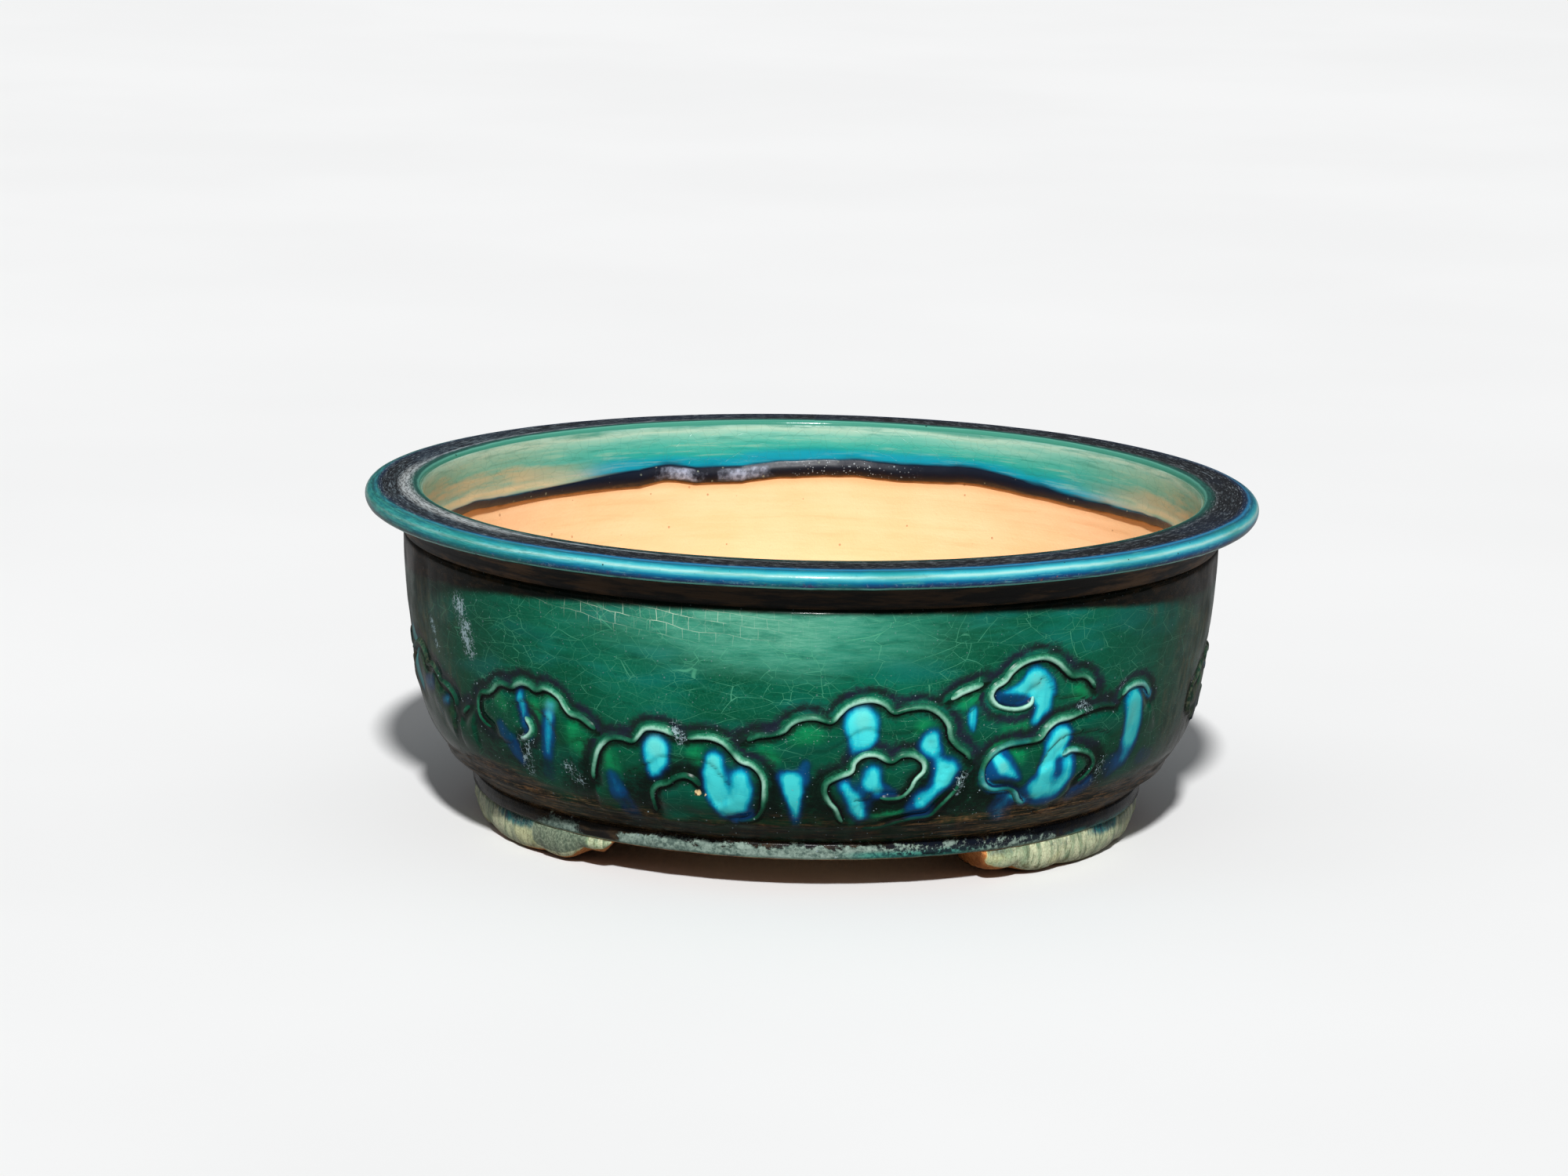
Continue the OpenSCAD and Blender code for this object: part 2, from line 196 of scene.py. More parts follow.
SF = [([(27.6,66.3,2.5), (28.6,69,3.2), (30,71.6,2), (31.3,73.6,.7)], 1, .9, 0), ([(28.4,68.8,1.3), (28.6,69.6,1.3)], 0, 0, .9),
      ([(28,65.8,2.2), (27,70.5,2.2)], 0, .8, 0), ([(25.4,70.6,1), (25.8,74,1.4), (27.4,76.8,1.7), (29.6,77.5,1.1)], .8, .3, 0),
      ([(26.6,64.6,1), (29,62,1.1), (32,61.4,.9)], .4, .1, 0),
      ([(37.9,61.8,5), (37.2,64.6,4.8), (36.3,69,3.8), (36,74,3.8), (36.2,78,4.2)], 1, .7, 0), ([(38.2,61,2.8), (37.6,63,2.8)], 0, 0, .7),
      ([(39.9,70.4,3.1), (40,75,3.6), (38.6,79,3.8)], .88, .85, 0), ([(34.2,76.8,2.8), (35,79,2.8)], .75, .8, 0),
      ([(36,81.4,2.5), (38.4,81.8,2.5)], .25, .8, 0), ([(38.9,67.4,1.1), (40.8,66.9,1.1)], .85, .3, .3),
      ([(33.9,83.6,1.1), (31.6,79.6,1.3)], .8, .4, 0), ([(30.4,80.8,3.1), (30.2,84.5,4), (31,88.5,3.2)], .42, .6, 0)]
SG = [([(52.2,54.4,4.9), (52.6,60,5.1), (52.9,65.5,4.7)], 1, .6, 0), ([(52.9,69,4.2), (52.4,73.5,3.2)], .6, .7, 0), ([(52.1,55.5,2.8), (52.4,60,2.8)], 0, 0, .65),
      ([(49.4,74.4,2.8), (50.2,77,2.4)], .35, .6, 0), ([(45.4,80.6,2.9), (43.6,82.8,2.4)], .14, .7, 0), ([(50.5,49.6,1), (54,49,1.3), (56.4,53.2,2.1)], .72, .2, .2),
      ([(57.4,75,2), (60,76,2)], .1, .6, 0)]
# Fresh green patches: points, radius
PB = [([(-38.2,52.6), (-38.2,55)], 2.2), ([(-43.7,51.4), (-43.7,53)], 1.6), ([(-34,61.5), (-33.6,66.5)], 3.6), ([(-40.8,56), (-40.6,60)], 1.6), ([(-48.4,56), (-47.6,58)], 1.5)]
PC = [([(-28.6,68), (-28.2,71)], 2.6), ([(-15.5,64), (-15,66)], 2.0), ([(-8.6,69), (-8.2,70)], 2.0)]
PD = [([(-1.2,56), (1.2,56)], 2.4), ([(-5.6,62), (-4.5,64)], 1.6), ([(16,54), (17,54.5)], 2.0), ([(17.3,75), (18,77)], 1.8), ([(11,84), (13.5,82.5)], 1.0)]
PE = [([(21.8,46), (23,46.5)], 2.6), ([(39.6,46.5), (41.4,48)], 2.3), ([(28.5,56.5), (33,55.8)], 1.1)]
PF = [([(30,63.5), (31,66)], 2.0), ([(27,62.6), (28,62)], 1.2)]
PG = []
MOTIFS = {"A": ([A1, A2], SA, []), "B": ([B1, B2], SB, PB), "C": ([C1, C2, C3], SC, PC),
          "D": ([D1, D2, D3], SD, PD), "E": ([E1, E2], SE, PE), "F": ([F1, F2], SF, PF),
          "G": ([G1], SG, PG)}
CLOUDS = [("cloud_left_side", "A", 0, 0), ("cloud_front_left", "B", 0, 0),
          ("cloud_front_centre_left", "C", 0, 0), ("cloud_front_centre", "D", 0, 0),
          ("cloud_front_right_upper", "E", 0, 0), ("cloud_front_right_lower", "F", 0, 0),
          ("cloud_front_right_end", "G", 0, 0), ("cloud_right_side", "B", 126, 1),
          ("cloud_back_right_outer", "C", 128, -1), ("cloud_back_right", "D", 131, -1),
          ("cloud_back_upper", "E", 133, 2), ("cloud_back_lower", "F", 133, -1),
          ("cloud_back_left", "B", 236, 2), ("cloud_back_left_outer", "C", 237, -2),
          ("cloud_left_back", "D", 240, -1), ("cloud_left_end", "G", 217, 3)]


def smooth_stroke(pts, turn, drop, step=0.6):
    """Points every step mm along a smooth curve through a stroke's points."""
    p = np.array(pts, float)
    p[:, 0] += turn
    p[:, 1] += drop
    z = RIM_Z - p[:, 1]
    c = spot(p[:, 0], out_r(z), z)
    seg = np.sqrt(np.linalg.norm(np.diff(c, axis=0), axis=1))
    u = np.concatenate([[0], np.cumsum(seg)])
    uu = np.linspace(0, u[-1], 40*len(p))
    t = cubic(u, p[:, 0], uu)
    d = cubic(u, p[:, 1], uu)
    b = cubic(u, p[:, 2], uu)
    z = RIM_Z - d
    c = spot(t, out_r(z), z)
    s = np.concatenate([[0], np.cumsum(np.linalg.norm(np.diff(c, axis=0), axis=1))])
    n = max(6, int(round(s[-1] / step)) + 1)
    ss = np.linspace(0, s[-1], n)
    return np.interp(ss, s, t), np.interp(ss, s, d), np.interp(ss, s, b), ss


def chart_run(t, d):
    """Unit tangent in the wall's own (along, up) plane, smoothed a little."""
    z = RIM_Z - d
    du = np.gradient(t) * out_r(z) * math.pi / 180
    dv = np.gradient(z)
    k = np.array([1, 2, 3, 2, 1.0]) / 9
    du = np.convolve(np.pad(du, 2, "edge"), k, "valid")
    dv = np.convolve(np.pad(dv, 2, "edge"), k, "valid")
    n = np.hypot(du, dv)
    return du / n, dv / n


STROKES = []      # (node, theta, depth, pale, along)
SPLASH = []
PATCH = []
for node, motif, turn, drop in CLOUDS:
    lines, splashes, patches = MOTIFS[motif]
    for line in lines:
        STROKES.append((node,) + smooth_stroke(line, turn, drop))
    for pts, tq, bl, splash_top_highlight in splashes:
        SPLASH.append(([(a + turn, d + drop, r) for a, d, r in pts], tq, bl, splash_top_highlight))
    for pts, r in patches:
        PATCH.append(([(a + turn, d + drop) for a, d in pts], r))


def seg_dist(t, d, pts):
    """Distance in mm on the wall from points (t, d) to a polyline of (angle, depth),
    less the line's own radius where its points have one."""
    best = np.full(np.shape(t), 1e9)
    for p0, p1 in zip(pts[:-1], pts[1:]):
        (a0, d0), (a1, d1) = p0[:2], p1[:2]
        r = out_r(RIM_Z - np.clip((d0 + d1)/2, 0, 95)) * math.pi / 180
        x = ((t - a0 + 180) % 360 - 180) * r
        y = d - d0
        ex, ey = (a1 - a0)*r, d1 - d0
        k = np.clip((x*ex + y*ey) / (ex*ex + ey*ey + 1e-9), 0, 1)
        q = np.hypot(x - k*ex, y - k*ey)
        if len(p0) > 2:
            q = q - (p0[2] + k*(p1[2] - p0[2]))
        best = np.minimum(best, q)
    return best


_tree_pts, _tree_out, _tree_b = [], [], []
for node, t, d, b, s in STROKES:
    z = RIM_Z - d
    ru, rv = chart_run(t, d)
    east = np.stack([np.cos(np.radians(t)), np.sin(np.radians(t)), 0*t], -1)
    up = np.array([0, 0, 1.0])
    _tree_pts.append(spot(t, out_r(z), z))
    _tree_b.append(b)
    # left of the run is the outside of the cloud
    _tree_out.append(east*(-rv)[:, None] + up*ru[:, None])
_tree_pts = np.concatenate(_tree_pts)
_tree_b = np.concatenate(_tree_b)
_tree_out = np.concatenate(_tree_out)
tree = KDTree(len(_tree_pts))
for i, c in enumerate(_tree_pts):
    tree.insert(c, i)
tree.balance()


def frieze_masks(t, z):
    """Masks of the glaze, with painted highlights and sheen, at points on the wall: dict of arrays 0..1."""
    d = RIM_Z - z
    base = spot(t, out_r(z), z)
    wob = fnoise(base, 5.0) * 0.8
    dist = np.full(t.shape, 99.0)
    side = np.ones(t.shape)
    b_near = np.zeros(t.shape)
    near = np.nonzero((d > 24) & (d < 98))[0]
    for i in near:
        _, k, q = tree.find(base[i])
        dist[i] = q
        b_near[i] = _tree_b[k]
        side[i] = 1.0 if float(np.dot(base[i] - _tree_pts[k], _tree_out[k])) >= 0 else -1.0
    inside = side < 0
    out = {}
    dn = dist + wob*0.55
    grain = fnoise(base + 13, 1.6, 1)*0.35
    halo_out = 1 - sstep(2.4, 7.0, dn)
    # green fringe just outside the pale part of a line
    halo_out = halo_out*(1 - 0.9*sstep(0.05, 0.6, b_near)*(1 - sstep(1.2, 3.0, dist + grain)))
    halo_in = 1 - sstep(1.2, 4.5, dn)
    # the ground between and under the clouds is dark too
    gap = sstep(58, 78, d + 5*fnoise(base, 22, 2)) * (1 - sstep(9, 20, dist))
    halo = np.where(inside, halo_in*0.93, 1 - (1 - halo_out)*(1 - 0.72*gap))
    out["dist"], out["side"] = dist, side
    out["halo"] = halo
    out["inner"] = np.where(inside, halo_in, np.clip(gap, 0, 1))
    ntq = np.ones(t.shape); nbl = np.ones(t.shape); splash_highlight_keep = np.ones(t.shape)
    run = fnoise(base, 6.0, 2, (1, 1, 0.3))*0.9 + wob*0.5
    for pts, a, b, h in SPLASH:
        q = seg_dist(t, d, pts)
        m = q < 6
        if not m.any():
            continue
        r = max(p[2] for p in pts)
        w = min(3.0, 0.8*r + 0.2)
        qq = np.where(m, q + run*min(0.7, r/4.0), 99)
        ntq *= 1 - a*(1 - sstep(-w, 1.3 + 0.12*r, qq))
        nbl *= 1 - b*(1 - sstep(-0.4, 2.9, qq))
        # painted highlight: the pale top of a splash
        if h > 0:
            splash_highlight_keep *= 1 - h*(1 - sstep(-r, 1.6, qq))
    out["turq"], out["blue"], out["splash_top_highlight"] = 1 - ntq, 1 - nbl, 1 - splash_highlight_keep
    gr = np.zeros(t.shape)
    for pts, r in PATCH:
        q = seg_dist(t, d, pts) + wob*0.9
        gr = np.maximum(gr, 1 - sstep(r*0.2, r + 2.4, q))
    out["fresh"] = gr
    # painted highlight high on the front, weaker at the back: a pale sheen standing in for reflected sky and sun; then
    # the whitened crackle there
    ts = (t + 180) % 360 - 180
    pale = (np.exp(-((ts + 6)/17.0)**2) + 0.55*np.exp(-((np.abs(ts) - 172)/22.0)**2)) \
        * (1 - sstep(23, 40, d + fnoise(base, 30, 2, (1, 1, 4))*6))
    out["pale"] = np.clip(pale, 0, 1)
    crk = np.exp(-((ts + 22.5)/14.0)**2) * (1 - sstep(22.0, 28.5, d + (ts + 15)*-0.17 + wob*2))
    out["crk"] = np.clip(crk, 0, 1)
    low = sstep(80, 91, d + fnoise(base, 14, 3, (1, 1, 2.2))*4 + 5.5*sstep(34, 62, np.abs((t + 180) % 360 - 180)))
    out["low"] = low
    lime = np.zeros(t.shape)
    for pts, r, a in [([(-56.6,28), (-55.4,34), (-54.6,42)], 4.4, .9), ([(-66,38), (-65.5,41)], 1.6, .7),
                      ([(-50,50), (-43,72)], 9.0, .15), ([(41,66), (46,78)], 6.0, .15), ([(-14,56), (24,58)], 4.0, .10),
                      ([(-65.4,45), (-64.8,46.4)], 1.2, .9), ([(-18.2,55), (-17.6,60)], 1.6, .9),
                      ([(-44,69), (-44.3,79)], 2.6, .55), ([(-36,75), (-34.5,79)], 3.0, .45),
                      ([(41,51.5), (42.5,54)], 1.4, .8), ([(22.6,71), (21.9,77)], 1.0, .8),
                      ([(47.5,72), (46.8,80)], 1.6, .6), ([(-67,66.5), (-66,69)], 1.5, .6),
                      ([(49.5,46.6), (48.9,48)], 1.0, .7), ([(-45,68), (-43.6,67.6)], .8, .8),
                      ([(108,30), (111,44)], 2.6, .8), ([(-128,36), (-124,39)], 2.2, .7),
                      ([(160,72), (161,80)], 2.4, .6), ([(-150,58), (-149,63)], 1.5, .7)]:
        q = seg_dist(t, d, pts)
        lime = np.maximum(lime, a*(1 - sstep(r*0.3, r + 1.4, q)))
    out["lime"] = lime
    return out


# ------------------------------------------------------------------ mesh tools
def grid_mesh(name, P, close_u=True, close_v=False, attrs=None, smooth=True):
    """A mesh from a grid of points P[v][u] in mm, wrapping in u and, if asked, in v."""
    nv, nu = P.shape[:2]
    verts = (P.reshape(-1, 3) * MM).astype(float)
    idx = np.arange(nv*nu).reshape(nv, nu)
    rows = nv if close_v else nv - 1
    cols = nu if close_u else nu - 1
    a = idx[np.arange(rows)][:, np.arange(cols)]
    b = idx[np.arange(rows)][:, (np.arange(cols) + 1) % nu]
    c = idx[(np.arange(rows) + 1) % nv][:, (np.arange(cols) + 1) % nu]
    e = idx[(np.arange(rows) + 1) % nv][:, np.arange(cols)]
    faces = np.stack([a, b, c, e], -1).reshape(-1, 4)
    return mesh_from(name, verts, faces, attrs, smooth)


def mesh_from(name, verts, faces, attrs=None, smooth=True):
    me = bpy.data.meshes.new(name)
    me.from_pydata([tuple(v) for v in verts], [], [tuple(int(i) for i in f) for f in faces])
    me.validate()
    me.update()
    for key, val in (attrs or {}).items():
        val = np.asarray(val, np.float32)
        if val.ndim == 1:
            at = me.attributes.new(key, "FLOAT", "POINT")
            at.data.foreach_set("value", val)
        else:
            at = me.attributes.new(key, "FLOAT_COLOR", "POINT")
            col = np.ones((len(val), 4), np.float32)
            col[:, :3] = val
            at.data.foreach_set("color", col.ravel())
    if smooth:
        me.polygons.foreach_set("use_smooth", [True]*len(me.polygons))
    ob = bpy.data.objects.new(name, me)
    scene.collection.objects.link(ob)
    return ob


def revolve(name, prof, n, attrs=None, bend=None):
    """Revolves a closed profile [(radius, height)], counter-clockwise seen with
    radius to the right and height up. bend(theta, P) may move the points.
    Every profile point keeps its place along the profile in 'prof'."""
    prof = np.array(prof, float)
    t = np.arange(n) * 360.0 / n
    R = np.repeat(prof[:, 0][:, None], n, 1)
    Z = np.repeat(prof[:, 1][:, None], n, 1)
    T = np.repeat(t[None, :], len(prof), 0)
    if bend:
        R, Z = bend(T, R, Z)
    P = spot(T, R, Z)
    return grid_mesh(name, P, True, True, attrs(T, R, Z) if attrs else None)


def place(ob, *nodes):
    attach(ob, "root")
    if nodes:
        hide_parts(*nodes)
    return ob


def fillet(pts, radii, seg=5):
    """Rounds the corners of a closed polygon: radii[i] at pts[i]."""
    out = []
    n = len(pts)
    for i, (p, r) in enumerate(zip(pts, radii)):
        p = np.array(p, float)
        if r <= 0:
            out.append(tuple(p)); continue
        a = np.array(pts[i - 1], float) - p
        b = np.array(pts[(i + 1) % n], float) - p
        la, lb = np.linalg.norm(a), np.linalg.norm(b)
        a, b = a/la, b/lb
        half = math.acos(np.clip(a @ b, -1, 1))/2
        cut = min(r/math.tan(half), la*0.48, lb*0.48)
        r2 = cut*math.tan(half)
        c = p + (a + b)/np.linalg.norm(a + b) * (r2/math.sin(half))
        s, e = p + a*cut, p + b*cut
        a0 = math.atan2(*(s - c)[::-1]); a1 = math.atan2(*(e - c)[::-1])
        da = (a1 - a0 + math.pi) % (2*math.pi) - math.pi
        for k in range(seg + 1):
            w = a0 + da*k/seg
            out.append((c[0] + r2*math.cos(w), c[1] + r2*math.sin(w)))
    return out


def dense(pts, step):
    """Adds points so that no side of a closed polygon is longer than step."""
    out = []
    for p, q in zip(pts, pts[1:] + pts[:1]):
        p, q = np.array(p), np.array(q)
        k = max(1, int(math.ceil(np.linalg.norm(q - p)/step)))
        out += [tuple(p + (q - p)*i/k) for i in range(k)]
    return out


# ------------------------------------------------------------------ materials
class Mat:
    """A small builder for node materials."""

    def __init__(self, name):
        self.m = bpy.data.materials.new(name)
        self.m.use_nodes = True
        self.t = self.m.node_tree
        self.t.nodes.clear()
        self.out = self.t.nodes.new("ShaderNodeOutputMaterial")
        self.b = self.t.nodes.new("ShaderNodeBsdfPrincipled")
        self.t.links.new(self.b.outputs[0], self.out.inputs[0])
        self.co = self.t.nodes.new("ShaderNodeTexCoord").outputs["Object"]
        self._xyz = None

    def link(self, v, sock):
        if isinstance(v, bpy.types.NodeSocket):
            self.t.links.new(v, sock)
        elif isinstance(v, (tuple, list)) and sock.type == "RGBA":
            sock.default_value = tuple(v) + ((1.0,) if len(v) == 3 else ())
        else:
            sock.default_value = v

    def math(self, op, a, b=0.0, c=0.0, clamp=False):
        n = self.t.nodes.new("ShaderNodeMath")
        n.operation = op
        n.use_clamp = clamp
        for v, s in zip((a, b, c), n.inputs):
            self.link(v, s)
        return n.outputs[0]

    def add(self, a, b): return self.math("ADD", a, b)
    def sub(self, a, b): return self.math("SUBTRACT", a, b)
    def mul(self, a, b): return self.math("MULTIPLY", a, b)
    def mx(self, a, b): return self.math("MAXIMUM", a, b)
    def mn(self, a, b): return self.math("MINIMUM", a, b)
    def inv(self, a): return self.math("SUBTRACT", 1.0, a)

    def step(self, v, a, b, lo=0.0, hi=1.0):
        n = self.t.nodes.new("ShaderNodeMapRange")
        n.interpolation_type = "SMOOTHSTEP"
        self.link(v, n.inputs[0])
        if a > b:
            a, b, lo, hi = b, a, hi, lo
        n.inputs[1].default_value = a
        n.inputs[2].default_value = b
        n.inputs[3].default_value = lo
        n.inputs[4].default_value = hi
        return n.outputs[0]

    def mix(self, f, a, b):
        n = self.t.nodes.new("ShaderNodeMix")
        n.data_type = "RGBA"
        n.clamp_factor = True
        self.link(f, n.inputs["Factor"])
        self.link(a, n.inputs[6])
        self.link(b, n.inputs[7])
        return n.outputs[2]

    def ramp(self, f, stops, mode="LINEAR"):
        n = self.t.nodes.new("ShaderNodeValToRGB")
        n.color_ramp.interpolation = mode
        el = n.color_ramp.elements
        while len(el) < len(stops):
            el.new(0.5)
        for e, (p, c) in zip(el, stops):
            e.position = p
            e.color = tuple(c) + (1.0,)
        self.link(f, n.inputs[0])
        return n.outputs[0]

    def stretch(self, k, shift=(0, 0, 0), vec=None):
        n = self.t.nodes.new("ShaderNodeMapping")
        self.link(vec or self.co, n.inputs[0])
        n.inputs["Location"].default_value = shift
        n.inputs["Scale"].default_value = k
        return n.outputs[0]

    def noise(self, size, detail=3, rough=0.55, vec=None, dist=0.0, k=(1, 1, 1), shift=(0, 0, 0)):
        """Noise with features of about size mm, centred on 0.5."""
        n = self.t.nodes.new("ShaderNodeTexNoise")
        self.link(self.stretch(k, shift, vec), n.inputs["Vector"])
        n.inputs["Scale"].default_value = 1000.0/size
        n.inputs["Detail"].default_value = detail
        n.inputs["Roughness"].default_value = rough
        n.inputs["Distortion"].default_value = dist
        return n.outputs["Fac"]

    def noise_col(self, size, detail=2, k=(1, 1, 1), shift=(0, 0, 0)):
        n = self.t.nodes.new("ShaderNodeTexNoise")
        self.link(self.stretch(k, shift), n.inputs["Vector"])
        n.inputs["Scale"].default_value = 1000.0/size
        n.inputs["Detail"].default_value = detail
        return n.outputs["Color"]

    def vec(self, op, a, b):
        n = self.t.nodes.new("ShaderNodeVectorMath")
        n.operation = op
        for v, s in zip((a, b), n.inputs):
            if isinstance(v, bpy.types.NodeSocket):
                self.t.links.new(v, s)
            else:
                s.default_value = v
        return n.outputs[0]

    def warp(self, size, amp, k=(1, 1, 1), shift=(0, 0, 0)):
        """Object coordinates pushed about by up to amp mm over features of size mm."""
        c = self.vec("SUBTRACT", self.noise_col(size, 2, k, shift), (0.5, 0.5, 0.5))
        s = self.vec("MULTIPLY", c, (amp*2*MM,)*3)
        return self.vec("ADD", self.co, s)

    def voronoi(self, size, feature="DISTANCE_TO_EDGE", vec=None, k=(1, 1, 1), rnd=1.0, shift=(0, 0, 0)):
        n = self.t.nodes.new("ShaderNodeTexVoronoi")
        n.feature = feature
        self.link(self.stretch(k, shift, vec), n.inputs["Vector"])
        n.inputs["Scale"].default_value = 1000.0/size
        n.inputs["Randomness"].default_value = rnd
        return n

    def cracks(self, size, width, vec=None, k=(1, 1, 1), shift=(0, 0, 0)):
        """1 on the lines between cells of about size mm, lines width mm wide."""
        d = self.voronoi(size, vec=vec, k=k, shift=shift).outputs["Distance"]
        return self.step(d, width*0.25/size, width*0.9/size, 1.0, 0.0)

    def ladder(self, wide, high, line, vec, tilt=0.0):
        """Four-sided cells, drawn as thin lines: cracks along the pot and short ones across."""
        sx = self.t.nodes.new("ShaderNodeSeparateXYZ")
        self.link(vec, sx.inputs[0])
        cx = self.t.nodes.new("ShaderNodeCombineXYZ")
        self.link(sx.outputs[0], cx.inputs[0])
        self.link(self.math("MULTIPLY_ADD", sx.outputs[0], tilt, sx.outputs[2]), cx.inputs[1])
        b = self.t.nodes.new("ShaderNodeTexBrick")
        b.offset, b.offset_frequency, b.squash, b.squash_frequency = 0.42, 2, 0.72, 3
        self.link(cx.outputs[0], b.inputs["Vector"])
        b.inputs["Scale"].default_value = 1.0
        b.inputs["Mortar Size"].default_value = line*MM*0.5
        b.inputs["Mortar Smooth"].default_value = 0.6
        b.inputs["Brick Width"].default_value = wide*MM
        b.inputs["Row Height"].default_value = high*MM
        return b.outputs["Fac"]

    def specks(self, size, big, share, shift=(0, 0, 0)):
        """Spots up to big (0..1 of a cell) in a share of the cells of size mm."""
        n = self.voronoi(size, "F1", shift=shift)
        s = self.t.nodes.new("ShaderNodeSeparateColor")
        self.t.links.new(n.outputs["Color"], s.inputs[0])
        has = self.math("LESS_THAN", s.outputs[0], share)
        rad = self.math("MULTIPLY_ADD", s.outputs[1], big*0.7, big*0.3)
        on = self.math("LESS_THAN", n.outputs["Distance"], rad)
        return self.mul(has, on)

    def attr(self, name):
        n = self.t.nodes.new("ShaderNodeAttribute")
        n.attribute_name = name
        return n

    def attr_rgb(self, name):
        s = self.t.nodes.new("ShaderNodeSeparateColor")
        self.t.links.new(self.attr(name).outputs["Color"], s.inputs[0])
        return s.outputs

    def xyz(self):
        if self._xyz is None:
            s = self.t.nodes.new("ShaderNodeSeparateXYZ")
            self.t.links.new(self.co, s.inputs[0])
            self._xyz = s.outputs
        return self._xyz

    def depth(self):
        """Depth below the rim in mm."""
        return self.math("MULTIPLY_ADD", self.xyz()[2], -1000.0, RIM_Z)

    def bump(self, h, mm, prev=None):
        n = self.t.nodes.new("ShaderNodeBump")
        n.inputs["Strength"].default_value = 1.0
        n.inputs["Distance"].default_value = mm*MM
        self.link(h, n.inputs["Height"])
        if prev is not None:
            self.link(prev, n.inputs["Normal"])
        return n.outputs[0]

    def finish(self, color, rough, normal=None, coat=0.0, spec=0.35):
        self.link(color, self.b.inputs["Base Color"])
        self.link(rough, self.b.inputs["Roughness"])
        self.b.inputs["Specular IOR Level"].default_value = spec
        if coat:
            self.b.inputs["Coat Weight"].default_value = coat
            self.b.inputs["Coat Roughness"].default_value = 0.06
        if normal is not None:
            self.link(normal, self.b.inputs["Normal"])
        return self.m


def srgb(r, g, b):
    return tuple((c/255/12.92 if c/255 <= 0.04045 else ((c/255 + 0.055)/1.055)**2.4)
                 for c in (r, g, b))


